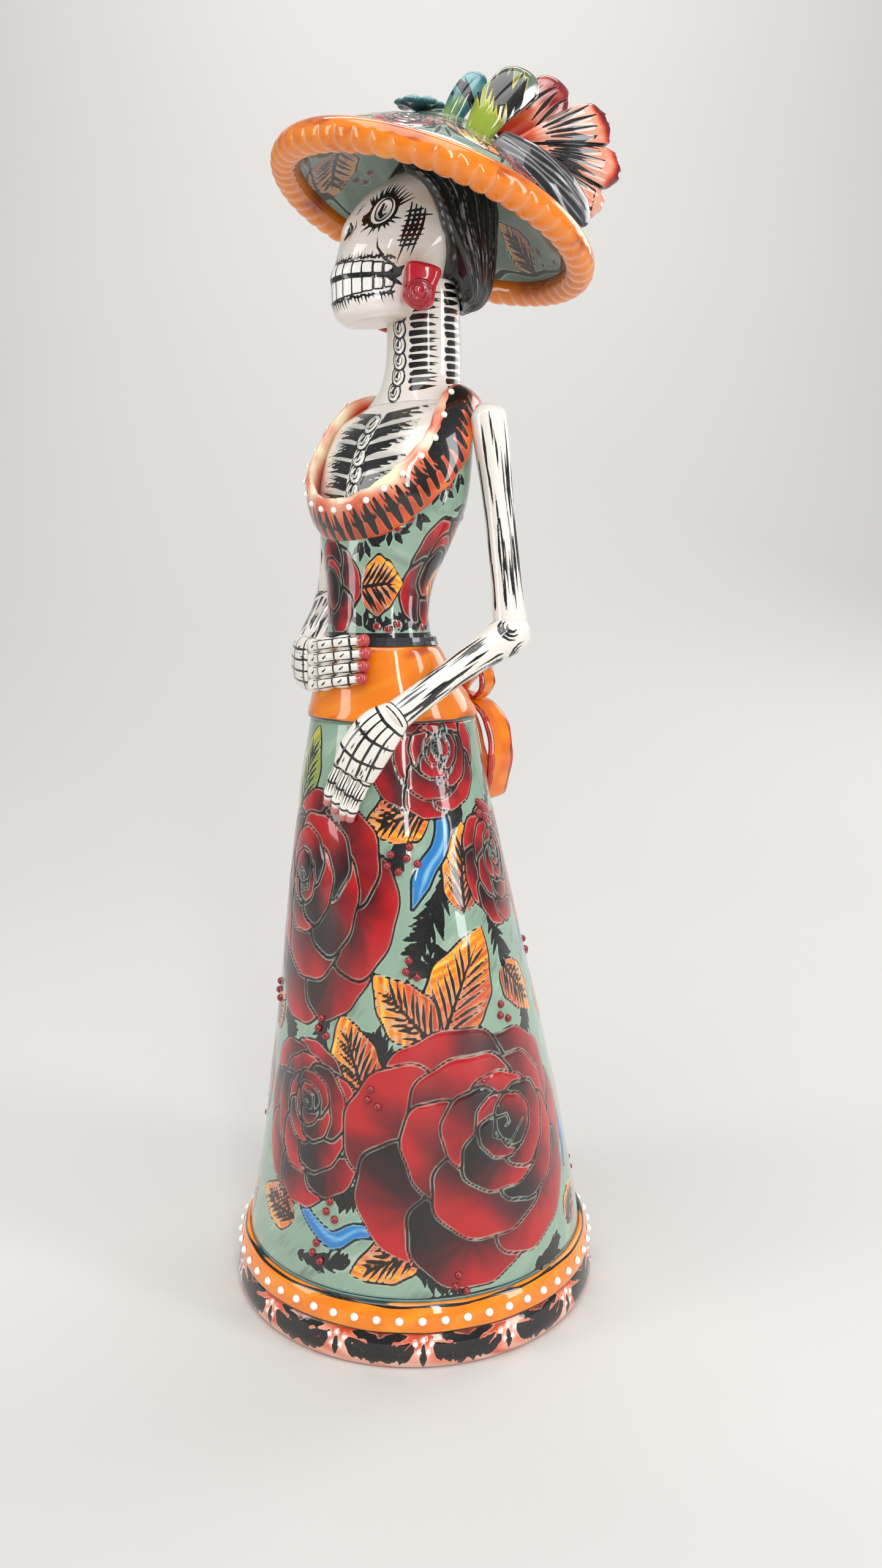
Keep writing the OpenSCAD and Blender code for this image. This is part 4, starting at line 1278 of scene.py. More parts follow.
    @staticmethod
    def ribs(brush: Painter, angle: float, along: float, size: float, seed: int) -> None:
        """Paints a pair of ribs as bundles of brush strokes.

        Args:
            brush: the painter.
            angle: angle of the spine.
            along: height of the ribs.
            size: length of a rib.
            seed: a number that fixes the strokes.
        """
        rng = np.random.default_rng(seed)
        spot = brush.skin.near(angle, along, size + 2, 7)
        for side in (-1, 1):
            wash = np.hypot((spot.x - side * size * 0.45) / (size * 0.42), (spot.y + 1.6) / 1.5)
            spot.tint(smooth(1.1, 0.5, wash) * 0.62, Glaze.WASH)
            for k in range(5):
                y = -1.1 + 0.62 * k + rng.normal(0, 0.12)
                end = side * size * rng.uniform(0.6, 1.0)
                spot.stroke([(side * 2.6, y), (end * 0.5, y + 0.9), (end, y + 1.2 + 0.3 * k)],
                            [1.0, 0.72, 0.12])

    def neck(self) -> Skin:
        """Builds and paints the neck.

        Returns:
            The painted skin.
        """
        z = np.concatenate([np.linspace(264.06, 272, 34), np.linspace(272.3, 297.5, 80)])
        w = table(z, [(264.06, 17), (265.5, 15.4), (268, 13.2), (272, 11.7), (280, 10.8), (290, 10.5),
                      (297.5, 10.6)])
        d = table(z, [(264.06, 11.2), (268, 11.2), (272, 11), (280, 10.6), (297.5, 10.3)])
        y = table(z, [(264.06, 2.2), (268, 3.6), (274, 4.8), (297.5, 4.9)])
        a = np.radians(np.arange(200) * 360 / 200)
        rings = np.stack([w[:, None] * np.cos(a), y[:, None] + d[:, None] * np.sin(a),
                          np.repeat(z[:, None], 200, 1)], -1)
        skin = Skin(rings, Glaze.BONE, z)
        brush = Painter(skin, 10 * math.pi / 180, 47)
        rng = np.random.default_rng(4)
        for column, (low, high) in {-50: (-70, -26), 0: (-14, 22), 52: (34, 72), 104: (88, 122),
                                    156: (138, 174), 205: (192, 226)}.items():
            for h in np.arange(267.5, 296, 2.15):
                spot = skin.near(column, h, 9, 3)
                for k in range(2):
                    x0 = (low - column) * 0.17 + rng.normal(0, 0.4)
                    x1 = (high - column) * 0.17 + rng.normal(0, 0.7)
                    tip = rng.normal(0.5, 0.3)
                    spot.stroke([(x0, 0.5 * k), ((x0 + x1) / 2, 0.5 * k + 0.25), (x1, 0.4 * k + tip)],
                                [1.15, 0.85, 0.15])
        for k, h in enumerate(np.arange(267, 295, 4.4)):
            self.vertebra(brush, -89 + 2 * math.sin(1.3 * k), h, 2.2, 2.8)
        return skin

    def collar(self) -> Skin:
        """Builds and paints the collar.

        Returns:
            The painted skin.
        """
        half = [(0, -28.8, 230.6), (10.4, -27, 232.8), (18.8, -21.6, 239.6), (23, -12.8, 249.5),
                (20.4, -4, 262.6), (16.5, 6, 265.6), (10.5, 14, 261.5), (0, 16.4, 258.5)]
        other = [(-x, y, z) for x, y, z in half[1:-1]]
        path = spline([half[-1]] + half[-2:0:-1] + [half[0]] + other, 300, closed=True)
        ahead = unit(np.roll(path, -1, 0) - np.roll(path, 1, 0))
        across = unit(np.cross(ahead, unit(path - [0, -2, 244])))
        out = np.cross(across, ahead)
        share = np.abs(np.linspace(0, 1, 300, endpoint=False) - 0.5)
        w = table(share, [(0, 6.6), (0.22, 6.6), (0.32, 4.8), (0.42, 3.8),
                          (0.5, 4.2)]) + 0.16 * np.sin(share * 150)
        a = np.radians(np.arange(96) * 360 / 96)
        s = np.sign(np.sin(a)) * np.abs(np.sin(a)) ** 0.85
        breadth = (w[:, None] * np.cos(a))[..., None] * across[:, None]
        rings = path[:, None] + breadth + 1.9 * s[:, None] * out[:, None]
        length = np.linalg.norm(path - np.roll(path, 1, 0), axis=1)
        skin = Skin(rings, Glaze.VERMILION, np.concatenate([[0], np.cumsum(length[1:])]), looped=True)
        total = float(length.sum())
        up = 1 if across[150, 2] > 0 else -1
        inner = up * np.tile(np.cos(a), 300)
        x, y = skin.grid
        tone = 0.46 - 0.34 * inner + 0.2 * Grain(71)(x, y, 15)
        skin.colour(ramp(tone, (Glaze.CREAM, Glaze.SALMON, Glaze.VERMILION, Glaze.RUST, Glaze.VERMILION,
                                Glaze.ORANGE)))
        rng = np.random.default_rng(9)
        for at in np.arange(0.16 * total, 0.84 * total, 3.3):
            off = abs(at / total - 0.5)
            wide = float(np.interp(off, [0, 0.22, 0.34], [6.6, 6.6, 4.6]))
            spot = skin.near(90, at, 10)
            lean = math.copysign(1, at / total - 0.5) * (0.4 + 14 * max(off - 0.08, 0))
            top, low = 0.5 * wide + rng.normal(0, 0.4), -0.8 * wide + rng.normal(0, 0.5)
            mid = (top + low) / 2
            fat = 1.9 + 0.5 * rng.random()
            spot.stroke([(-up * top, 0.3 * lean), (-up * mid, -lean * 0.35), (-up * low, -lean)],
                        [0.7, fat, fat, 1.1])
            if rng.random() < 0.6:
                spot.stroke([(-up * (top + 1), 1.2 + 0.3 * lean), (-up * mid, 1.6 - lean * 0.35)],
                            [0.3, 0.9, 0.6])
            if off > 0.2:
                spot.stroke([(-up * 0.3 * wide, -3), (-up * 0.3 * wide, 0), (-up * 0.3 * wide, 3)],
                            [3.5, 4.5, 3.5])
        return skin

    def sash(self) -> Skin:
        """Builds and paints the sash.

        Returns:
            The painted skin.
        """
        z = np.linspace(176.4, 197, 70)
        swell = self.sash_t * (1 - np.abs((z - 186.7) / 10.3) ** 14 * 0.55)
        back = np.linspace(197, 176.4, 8)
        rings = np.concatenate([self.rings(z, swell), self.rings(back, 0.15)])
        skin = Skin(rings, Glaze.ORANGE, np.append(z, np.full(8, UNSEEN)), looped=True)
        x, y = skin.grid
        # Painted shade: the orange darkens towards the top and bottom edges, where the sash meets the bodice
        skin.colour(ramp(0.6 + 0.3 * Grain(61)(x, y, 22) - 0.45 * smooth(5, 0, np.minimum(y - 176, 197 - y)),
                         (Glaze.RUST, Glaze.ORANGE, Glaze.ORANGE, Glaze.AMBER)))
        skin.ink = np.where(y > 0, y - 177.0 + 0.25 * Grain(6)(x, 0.0, 20), FAR)
        return skin

    def build(self) -> None:
        """Makes all the bodice's pieces."""
        self.chest().mesh("painted_bodice", PAINTED, "torso", slot="glaze_green")
        self.neck().mesh("painted_neck", BONE_GLAZE, "neck", slot="bone_white")
        feathered = Finish("collar_glaze", pale=Glaze.SALMON, halo=0.35, pool=Glaze.RUST)
        self.collar().mesh("feathered_collar", feathered, "collar", slot="glaze_collar")
        self.sash().mesh("orange_sash", ORANGE_GLAZE, "sash", slot="glaze_orange")
        dress(Finish("belt_glaze", plain=Glaze.CHARCOAL), "glaze_black", "bodice_belt")
        dress(SLIP_DOT, "slip_white", "collar_beads")


@dataclass
class Bow:
    """The clay ribbon bow at the back of the waist."""

    half: float = 0.9
    wide: float = 5.0
    small_half: float = 0.8
    small_wide: float = 3.0

    def loop(self, points: Sequence[Point], half: float, wide: float, side: int) -> Skin:
        """Builds one loop.

        Args:
            points: its closed route on the lady's left.
            half: half the ribbon's thickness.
            wide: half its width.
            side: 1 for the left loop or -1 for the right one.

        Returns:
            The painted skin.
        """
        path = spline(points, 150, closed=True)
        ripple = 1 + 0.05 * np.sin(np.linspace(0, 2 * math.pi, 150, endpoint=False) * 6)
        share = np.linspace(0, 1, 150)
        breadth = wide * ripple * np.interp(share, [0, 0.3, 0.7, 1], [0.76, 1, 1, 0.76])
        rings = sections(path, [(0, half), (1, half)], list(zip(share, breadth)),
                         (0.15, 1, 0.1), 48, closed=True, flat=0.75)
        skin = Skin(rings * [side, 1, 1], Glaze.ORANGE, looped=True, along=np.arange(150.0))
        centre = skin.rings.mean(axis=1, keepdims=True)
        rim = np.abs((skin.rings - centre)[..., 1]) / wide
        x, y = skin.grid
        red = smooth(0.62, 0.8, rim).ravel()
        glaze = ramp(0.3 + 0.4 * red + 0.1 * Grain(3)(x, y, 20),
                     (Glaze.AMBER, Glaze.ORANGE, Glaze.VERMILION, Glaze.SCARLET, Glaze.CRIMSON))
        edging = ramp(0.5 + 0.4 * Grain(5)(x, y, 14), (Glaze.CRIMSON, Glaze.RED, Glaze.SCARLET))
        skin.colour(np.where(red[:, None] > 0.5, edging, glaze))
        skin.ink = (np.abs(rim - 0.66) * wide - 0.16).ravel()
        return skin

    def build(self) -> None:
        """Makes the knot, the loops and the tails."""
        big = [(5.4, 18.2, 178), (11, 19, 178.4), (16.4, 19.4, 172.5), (18, 19.4, 162),
               (14.8, 19.8, 150.5), (10, 20.6, 154.5), (6.8, 19.8, 167)]
        small = [(5.2, 17, 182.4), (8.6, 17.4, 186.4), (13.4, 16.8, 189), (15.4, 16, 184.6),
                 (12, 17, 180.8), (8.2, 17.4, 180.8)]
        bow = Finish("bow_glaze", pale=Glaze.AMBER, halo=0.2, pool=Glaze.MAROON)
        for side, word in ((1, "left"), (-1, "right")):
            loop = self.loop(big, self.half, self.wide, side)
            loop.mesh(f"{word}_ribbon_loop", bow, f"bow_loop_{word}", slot="glaze_red")
            loop = self.loop(small, self.small_half, self.small_wide, side)
            loop.mesh(f"{word}_small_ribbon_loop", bow, f"bow_small_loop_{word}", slot="glaze_red")
            tail = rod([(1.9 * side, 18.6, 174.6), (2.8 * side, 19.2, 167), (4 * side, 20.6, 155),
                        (5.2 * side, 23, 141.5)],
                       [(0, 1.5), (0.3, 2.3), (1, 3.1)], (0, 1, 0.2), Glaze.ORANGE, 90, 48,
                       [(0, 0.9), (1, 0.9)], (0.8, 0.6), 0.7)
            x, y = tail.grid
            tail.colour(ramp(0.4 + 0.3 * Grain(9)(x, y, 12) + 0.5 * smooth(20, 34, y),
                             (Glaze.AMBER, Glaze.ORANGE, Glaze.VERMILION, Glaze.CRIMSON)))
            tail.mesh(f"{word}_ribbon_tail", bow, f"bow_tail_{word}", slot="glaze_orange")
        knot = rod([(-4.1, 16.6, 179.5), (0, 17.4, 179.5), (4.1, 16.6, 179.5)],
                   [(0, 3.2), (0.5, 4.2), (1, 3.2)], (0, 1, 0), Glaze.ORANGE, 60, 60,
                   [(0, 2.8), (0.5, 3.0), (1, 2.8)], (1.4, 1.4))
        x, y = knot.grid
        knot.lift = 0.25 * np.sin(x * 1.9)
        # Painted shade in the grooves of the pleats and painted highlight on their ridges, in step with the
        # lift
        knot.colour(ramp(0.5 + 0.4 * np.sin(x * 1.9), (Glaze.RUST, Glaze.ORANGE, Glaze.AMBER)))
        knot.mesh("ribbon_knot", bow, "bow_knot", slot="glaze_orange")


# ---------- arms ----------


@dataclass
class Arms:
    """Both arms and hands, which are painted as bones."""

    upper: float = 4.9
    elbow: float = 5.6
    wrist: float = 4.0

    @staticmethod
    def grainy(skin: Skin, seed: int, count: int, size: float, span: tuple[float, float]) -> None:
        """Paints long brush strokes along an arm.

        Args:
            skin: the arm.
            seed: a number that fixes the strokes.
            count: number of strokes.
            size: usual length of a stroke.
            span: where strokes may start and end.
        """
        rng = np.random.default_rng(seed)
        for _ in range(count):
            angle, mid = rng.uniform(0, 360), rng.uniform(*span)
            long = size * rng.uniform(0.35, 1.0)
            low, high = max(span[0], mid - long / 2) - mid, min(span[1], mid + long / 2) - mid
            spot = skin.near(angle, mid, 2.2, long)
            drift = rng.normal(0, 0.3)
            spot.stroke([(0, low), (drift, 0), (drift * 0.5, high)], [0.12, rng.uniform(0.5, 1.05), 0.12])

    def arm(self, shoulder: Point, elbow: Point, wrist: Point, word: str, seed: int) -> None:
        """Builds one arm down to the wrist.

        Args:
            shoulder: its shoulder.
            elbow: its elbow.
            wrist: its wrist.
            word: left or right.
            seed: a number that fixes the strokes.
        """
        s, e, w = (np.asarray(p, dtype=float) for p in (shoulder, elbow, wrist))
        ahead = unit(e - s)
        top = s - ahead * self.upper
        mid = (s + e) / 2 + [0.4 * np.sign(s[0]), 0, 0]
        skin = rod([top, s, mid, s + (e - s) * 0.985], [(0, self.upper), (0.12, self.upper), (0.4, 4.3),
                                                        (0.75, 4.2), (1, 4.9)],
                   (0, -1, 0.1), Glaze.BONE, 150, 84, ends=(4.4, 2.0))
        self.grainy(skin, seed, 64, 26, (3, 56))
        skin.mesh(f"{word}_upper_arm_bone", BONE_GLAZE, f"{word}_upper_arm", slot="bone_white")
        ahead = unit(w - e)
        skin = rod([e - ahead * self.elbow * 0.96, e, (e + w) / 2 + [0, 0, 0.5], w, w + ahead * 2.4],
                   [(0, 5.4), (0.13, self.elbow), (0.3, 4.7), (0.6, 4.0), (0.88, 4.1), (1, 4.5)],
                   (0, 0, 1), Glaze.BONE, 150, 84, ends=(5.0, 1.2))
        self.grainy(skin, seed + 1, 64, 20, (12, float(np.linalg.norm(w - e)) + 5))
        for angle in (60, 150, 240, 330):
            spot = skin.near(angle, 6.5, 6)
            for k, r in enumerate((1.4, 2.6, 3.7)):
                turns = np.linspace(-0.5 + k * 0.4, 2.9 + k * 0.3, 7)
                spot.stroke([(r * math.cos(t), r * math.sin(t)) for t in turns], [0.3, 1.0, 0.3])
        spot = skin.near(90, float(np.linalg.norm(w - e)) + 5.4, 40, 4)
        spot.stroke([(-30, 0.7), (30, 0.9)], [0.6])
        spot.stroke([(-30, -0.6), (30, -0.8)], [0.4])
        skin.mesh(f"{word}_forearm_bone", BONE_GLAZE, f"{word}_forearm", slot="bone_white")

    @staticmethod
    def finger(joints: Sequence[Point], r: float, face: Point, cells: bool) -> Skin:
        """Shapes one finger.

        Args:
            joints: its joints from the root to the tip.
            r: its radius.
            face: the way that its back looks.
            cells: whether it swells at each joint.

        Returns:
            The bare skin.
        """
        swell = 0.13 if cells else 0.09
        radii = [(t, r * (1 - 0.16 * t + swell * math.cos(6 * math.pi * t))) for t in np.linspace(0, 1, 25)]
        return rod(joints, radii, face, Glaze.BONE, 80, 40, ends=(0.8, 1.6))

    @staticmethod
    def fingers(skins: Sequence[Skin], name: str, node: str, cells: bool) -> None:
        """Paints the four fingers and makes them one piece.

        Args:
            skins: the bare fingers.
            name: the piece's name.
            node: the design's piece.
            cells: whether the finger bones are drawn as cells.
        """
        for skin in skins:
            size = float(skin.along[-1, 0])
            tips = skin.near(90, size - 1.6, 9, 9)
            cuts = (0.02, 0.27, 0.53, 0.76) if cells else (0.05, 0.4, 0.7)
            for k, at in enumerate(cuts):
                spot = skin.near(90, at * size, 8, 3)
                bend = 0.5 if cells else 0.3
                spot.stroke([(-5, -bend), (-1.4, 0.1), (0, 0.35), (1.4, 0.1), (5, -bend)], [0.6])
                if cells and k < 3:
                    long = (cuts[k + 1] - at) * size
                    for x in (-1.3, 1.3):
                        edge = skin.near(90, (at + 0.12) * size, 4, 6)
                        edge.stroke([(x, -0.2), (x * 1.05, long * 0.5), (x, long * 0.95)], [0.3, 0.6, 0.3])
                    mark = skin.near(90, (at + 0.1) * size, 3, 3)
                    mark.stroke([(-0.3, 0.3), (0.2, 1.2), (0.5, 1.3)], [0.55, 0.3])
            if not cells:
                for x in (-0.9, 0.0, 0.9):
                    root = skin.near(90, 0.3 * size, 3, size)
                    root.stroke([(x, -0.2 * size), (x, 0.1 * size), (x * 0.8, 0.32 * size)], [0.2, 0.5, 0.1])
            nail = smooth(-1.9, -0.9, tips.y) if cells else smooth(-1.2, -0.3, tips.y)
            tips.tint(nail * (0.95 if cells else 0.8), Glaze.RED)
        assemble(skins, name, BONE_GLAZE, node, slot="bone_white")

    @staticmethod
    def palm(points: Sequence[Point], wide: Sequence[Point], thick: Sequence[Point], face: Point,
             lines: Sequence[float]) -> Skin:
        """Builds and paints the back of a hand.

        Args:
            points: its middle line from the wrist.
            wide: its half widths.
            thick: its half thicknesses.
            face: the way that its back looks.
            lines: where the cross lines are, as shares of its length.

        Returns:
            The painted skin.
        """
        skin = rod(points, wide, face, Glaze.BONE, 110, 110, thick, (1.6, 1.0), 0.9)
        size = float(skin.along[-1, 0])
        for at in lines:
            spot = skin.near(90, at * size, 12, 5)
            spot.stroke([(-11, -1.6), (-5, -0.3), (0, 0.4), (5, -0.3), (11, -1.6)], [0.62, 0.8, 0.62])
        rng = np.random.default_rng(12)
        for x in (-4.4, -1.5, 1.5, 4.4):
            spot = skin.near(90, size * 0.6, 9, size)
            spot.stroke([(x * 0.8, -size * 0.4), (x, 0), (x * 1.05, size * 0.4)], [0.4, 0.75, 0.5])
            for k in range(5):
                u, v = x + rng.uniform(-1.3, 1.3), size * rng.uniform(-0.35, 0.3)
                spot.stroke([(u, v), (u * 1.02, v + 1.2), (u * 1.04, v + 2.6)], [0.12, 0.42, 0.1])
        return skin

    def build(self) -> None:
        """Makes both arms and hands."""
        self.arm((28.6, -1, 257.5), (34.8, 1.6, 200.5), (20.5, -30.2, 179), "left", 21)
        self.arm((-28.6, -1, 257.5), (-37.5, 4, 209), (-25, -19.4, 195), "right", 31)
        self.palm([(21.4, -29.6, 180), (20, -31, 178.4), (17, -33.9, 174.6), (13.4, -35.7, 169),
                   (10.2, -36.5, 163)],
                  [(0, self.wrist), (0.3, 6.2), (0.7, 6.9), (1, 6.2)], [(0, 3.6), (0.4, 3.4), (1, 2.5)],
                  (0.45, -1, 0),
                  (0.2, 0.45, 0.75)).mesh("left_hand_back", BONE_GLAZE, "left_palm", slot="bone_white")
        parts = []
        for i in range(4):
            side = i - 1.5
            across = np.array([0.8, 0.3, -0.48])
            root = np.array([10.4, -36.5, 163.4]) + 3.0 * side * across
            tip = np.array([6.2, -38.4, 150.4 + 0.9 * abs(side - 0.3)]) + 2.5 * side * across
            parts.append(self.finger([root, (root + tip) / 2 + [0, -0.9, 0], tip], 1.62, (0.45, -1, 0),
                                     False))
        self.fingers(parts, "left_finger_bones", "left_fingers", False)
        self.palm([(-26, -18.4, 195.2), (-25, -19.8, 194.8), (-21.6, -24.4, 192.8), (-16.4, -28, 191.4),
                   (-10.4, -30.3, 191.2)],
                  [(0, self.wrist), (0.35, 6.8), (0.8, 7.4), (1, 7.2)], [(0, 3.4), (0.4, 3.2), (1, 2.6)],
                  (-0.55, -1, 0),
                  (0.25, 0.6, 0.9)).mesh("right_hand_back", BONE_GLAZE, "right_palm", slot="bone_white")
        parts = []
        for i in range(4):
            side = 1.5 - i
            reach = 0.8 * abs(side - 0.4)
            parts.append(self.finger([(-10.6, -30.5, 191.2 + 3.6 * side), (-6, -32.2, 191.7 + 3.6 * side),
                                      (2, -33.2, 192.8 + 3.5 * side),
                                      (12.4 - reach, -31, 193.9 + 3.4 * side)], 1.98, (0, -1, 0), True))
        self.fingers(parts, "right_finger_bones", "right_fingers", True)


# ---------- head ----------

POSE = HeadPose()


@dataclass(frozen=True)
class HatForm:
    """The hat's section, which the head and the ornaments are fitted to."""

    crown_h: float = 26.0
    brim_r: float = 43.5
    roll_r: float = 4.2
    wall: float = 3.2
    profile: tuple[tuple[float, float], ...] = (
        (0, 1), (8, 0.97), (14, 0.89), (19, 0.76), (24, 0.65), (30, 0.52), (35, 0.38), (40, 0.2), (41, 0.153))

    def outer(self, r: Array) -> Array:
        """Height of the top face at a distance from the middle."""
        return table(r, self.profile) * self.crown_h

    def under(self, p: Array, gap: float = 0.25) -> Array:
        """Keeps points below the hat's lining.

        Args:
            p: points in the figure's frame.
            gap: room to leave.

        Returns:
            The points, pushed down where they were too high.
        """
        q = POSE.from_hat(p)
        r = np.hypot(q[..., 0], q[..., 1])
        top = np.where(r < 38, self.outer(r) - self.wall - gap, 60.0)
        q[..., 2] = np.minimum(q[..., 2], top)
        return POSE.hat(q)

    def seat(self, p: Array, sink: float = 0.7) -> Array:
        """Keeps points of an ornament from going through the hat.

        Args:
            p: points in the hat's frame.
            sink: how far they may lie below its top face.

        Returns:
            The points.
        """
        r = np.hypot(p[..., 0], p[..., 1])
        q = np.array(p)
        q[..., 2] = np.maximum(q[..., 2], np.where(r < self.brim_r, self.outer(r) - sink, -60.0))
        return q


HAT = HatForm()


@dataclass
class Head:
    """The painted skull with its hair and earrings."""

    profile: tuple[tuple[float, float, float, float], ...] = (
        (-10.7, -16.5, -6, 4.4), (-10.3, -19.4, -3.4, 7.6), (-9, -22, -1, 9.9), (-6, -24.1, 1, 11.5),
        (-1.6, -24.8, 3, 12.1),
        (0.3, -25, 6.5, 12.4), (3.6, -24.3, 8.9, 13.4), (8.5, -23.1, 13.1, 14.6), (13.5, -21.2, 17.2, 15.2),
        (21.5, -17, 19.4, 15.4), (26, -11.6, 19.4, 14.8), (29.5, -5.9, 19.3, 14), (34.5, -0.6, 18, 12),
        (38.5, 2, 16.2, 9.4),
        (42.5, 4, 12.8, 6))
    hair: tuple[tuple[float, float, float, float, float], ...] = (
        (-4.5, 44, 14, 15.4, 2.2), (-2, 36, 15.6, 18.4, 1.8), (2.9, 24, 17, 20.4, 1.4),
        (8.5, 13, 18, 21.2, 1.3), (13.5, 3, 18.4, 21.4, 1.3),
        (21.5, -12, 18.4, 21.3, 1.3), (26, -30, 17.9, 18.6, 3.2), (29.5, -50, 17, 15.4, 6),
        (32, -64, 16.2, 13.4, 7), (35, -70, 15.2, 11.8, 8))

    def ovals(self, dz: Array) -> tuple[Array, Array, Array]:
        """Sections of the skull."""
        front, back, wide = (table(dz, [(p[0], p[k]) for p in self.profile]) for k in (1, 2, 3))
        return wide, (back - front) / 2, (back + front) / 2

    def skull(self) -> Skin:
        """Models and paints the skull.

        Returns:
            The painted skin.
        """
        dz = np.concatenate([np.linspace(-10.7, -8.5, 16), np.linspace(-8.2, 42.5, 196)])
        a, b, mid = (v[:, None] for v in self.ovals(dz))
        phi = np.radians(np.arange(380) * 360 / 380)
        x, y = a * np.sin(phi), mid - b * np.cos(phi)
        z = dz[:, None] + 0.14 * (y - mid) * smooth(0.0, -3.0, dz)[:, None]
        base = np.stack([x, y, z], -1)
        plain = Skin(base, Glaze.BONE, dz)
        form = np.zeros(len(plain.ink))
        for side in (-1, 1):
            for angle, h, reach, high in ((46, 16.4, 4.4, -1.3), (46, 22.4, 4.2, 0.7), (62, 7.2, 4.8, 1.0),
                                          (80, -1.5, 4.0, -0.8),
                                          (12, 12.4, 1.5, -1.0), (88, 13, 6.5, -0.5), (26, -5.5, 5.0, 0.4)):
                spot = plain.near(side * angle, h, reach * 2.6)
                form[spot.index] += high * np.exp(-(spot.x**2 + spot.y**2) / reach**2)
        for h, reach, tall, high in ((14.5, 2.6, 3.6, 1.1), (1.8, 13.0, 2.4, 0.5), (-2.6, 12.0, 2.0, 0.3),
                                     (-8.2, 5.5, 2.2, 0.5)):
            spot = plain.near(0, h, reach * 2.2, tall * 2.4)
            form[spot.index] += high * np.exp(-(spot.x / reach) ** 2 - (spot.y / tall) ** 2)
        outward = unit(np.stack([np.sin(phi) / a, -np.cos(phi) / b, np.zeros_like(x)], -1))
        shaped = base + outward * form.reshape(len(dz), -1, 1)
        rings = HAT.under(POSE.head(shaped + [0, 0, POSE.mouth_z]))
        skin = Skin(rings, Glaze.BONE, dz)
        u, v = skin.grid
        skin.colour(ramp(0.5 + 0.5 * Grain(51)(u, v, 22), (Glaze.SLIP, Glaze.BONE, Glaze.BONE,
                                                           Glaze.BONE_WARM)))
        self.mouth(skin)
        for side in (-1, 1):
            self.eye(skin, side)
            self.temple(skin, side)
        return skin

    @staticmethod
    def mouth(skin: Skin) -> None:
        """Paints the teeth and the smile.

        Args:
            skin: the skull.
        """
        rng = np.random.default_rng(14)
        spot = skin.near(0, 0, 30, 12)
        for k in range(14):
            x = (k - 6.5) * 2.95
            fade = 1 - 0.02 * abs(k - 6.5) ** 1.5
            wide = 1.46 * (1.0 if abs(k - 6.5) < 5 else 0.86)
            for low, high in ((0.35, 0.35 + 3.5 * fade), (-0.45 - 3.5 * fade, -0.45)):
                cy, half = (low + high) / 2, (high - low) / 2
                depth = np.maximum(np.abs(spot.x - x) - wide, np.abs(spot.y - cy) - half)
                spot.fill(depth, Glaze.SLIP, 0.42, 0.34)
        for side in (-1, 1):
            spot.stroke([(0, 0), (side * 8, -0.15), (side * 16, 0.1), (side * 20.6, 0.3)],
                        [0.75, 0.8, 0.9, 1.4])
            spot.stroke([(side * 20.2, 0.2), (side * 21.8, 0.9), (side * 23.4, 2.4)], [2.6, 2.2, 0.4])
            spot.stroke([(side * 19.6, -0.4), (side * 21.8, -1.8), (side * 23, -2.6)], [1.6, 1.0, 0.3])
            spot.stroke([(side * 14.6, 9.4), (side * 15.4, 6.4), (side * 17.6, 3.8), (side * 21.4, 1.9)],
                        [0.2, 0.55, 0.7, 0.5])
            spot.stroke([(side * 16.5, -5), (side * 19.5, -3.8), (side * 21, -1.8)], [0.2, 0.5, 0.4])
        for x in np.arange(-19.5, 19.6, 1.05):
            lean = rng.normal(0, 0.2)
            up, down = 4.3 - 0.02 * abs(x), -4.4 + 0.02 * abs(x)
            spot.stroke([(x, up), (x + lean, up + rng.uniform(1.0, 2.5))], [0.62, 0.12])
            spot.stroke([(x + 0.4, down), (x + 0.4 + lean, down - rng.uniform(0.9, 2.7))], [0.62, 0.12])
        for k in range(14):
            x = (k - 6.5) * 2.95
            for y, sign in ((4.05, 1), (-4.15, -1)):
                spot.stroke([(x - 1.4, y), (x, y + 0.5 * sign), (x + 1.4, y)], [0.5])

    @staticmethod
    def eye(skin: Skin, side: int) -> None:
        """Paints an eye with its lashes, and the nostril beside it.

        Args:
            skin: the skull.
            side: 1 for the lady's left or -1 for her right.
        """
        spot = skin.near(side * 46, 16.4, 11)
        rng = np.random.default_rng(7 + side)
        for low, high, count, r1 in ((18, 158, 15, 7.6), (196, 334, 12, 6.6)):
            for t in np.linspace(low, high, count):
                t = math.radians(t + rng.normal(0, 2))
                bend = t + 0.16 * math.cos(t)
                r = r1 * rng.uniform(0.84, 1.08)
                spot.stroke([(3.7 * math.cos(t), 3.9 * math.sin(t)),
                             (r * math.cos(bend), r * math.sin(bend))], [0.75, 0.18])
        round_eye = (np.hypot(spot.x / 3.7, spot.y / 4.0) - 1) * 3.8
        spot.fill(round_eye, Glaze.SLIP, 0.95, 0.3)
        inner = (np.hypot((spot.x - 0.15 * side) / 2.3, (spot.y - 0.2) / 2.9) - 1) * 2.5
        spot.fill(inner, ramp(smooth(-3, 2, spot.y), (Glaze.WASH, Glaze.SLIP)), 0.42)
        spot.stroke([(-0.5 * side, 1.7), (-0.8 * side, -0.4), (0.1 * side, -1.6), (1.2 * side, -0.7)],
                    [0.8, 1.1, 0.9, 0.3])
        spot.stroke([(0.5 * side, 1.3), (0.2 * side, 0.1)], [0.5, 0.3])
        spot.stroke([(-3.6 * side, 0.4), (-4.5 * side, -1.4), (-3.9 * side, -3.2)], [0.8, 2.2, 0.7])
        nose = skin.near(side * 12, 12.4, 7)
        nose.stroke([(-0.3 * side, 2.2), (0.1 * side, 0.2), (-0.5 * side, -1.7)], [0.7, 2.7, 1.3])
        nose.stroke([(1.9 * side, 2.8), (2.8 * side, 0.4), (1.6 * side, -2.6)], [0.2, 0.5, 0.2])
        nose.stroke([(1.2 * side, 4.4), (2.0 * side, 5.6)], [0.5, 0.2])
        for k in range(3):
            nose.stroke([(1.4 * side, 5.4 + 0.9 * k), (3.6 * side, 6.4 + 1.0 * k)], [0.35, 0.12])

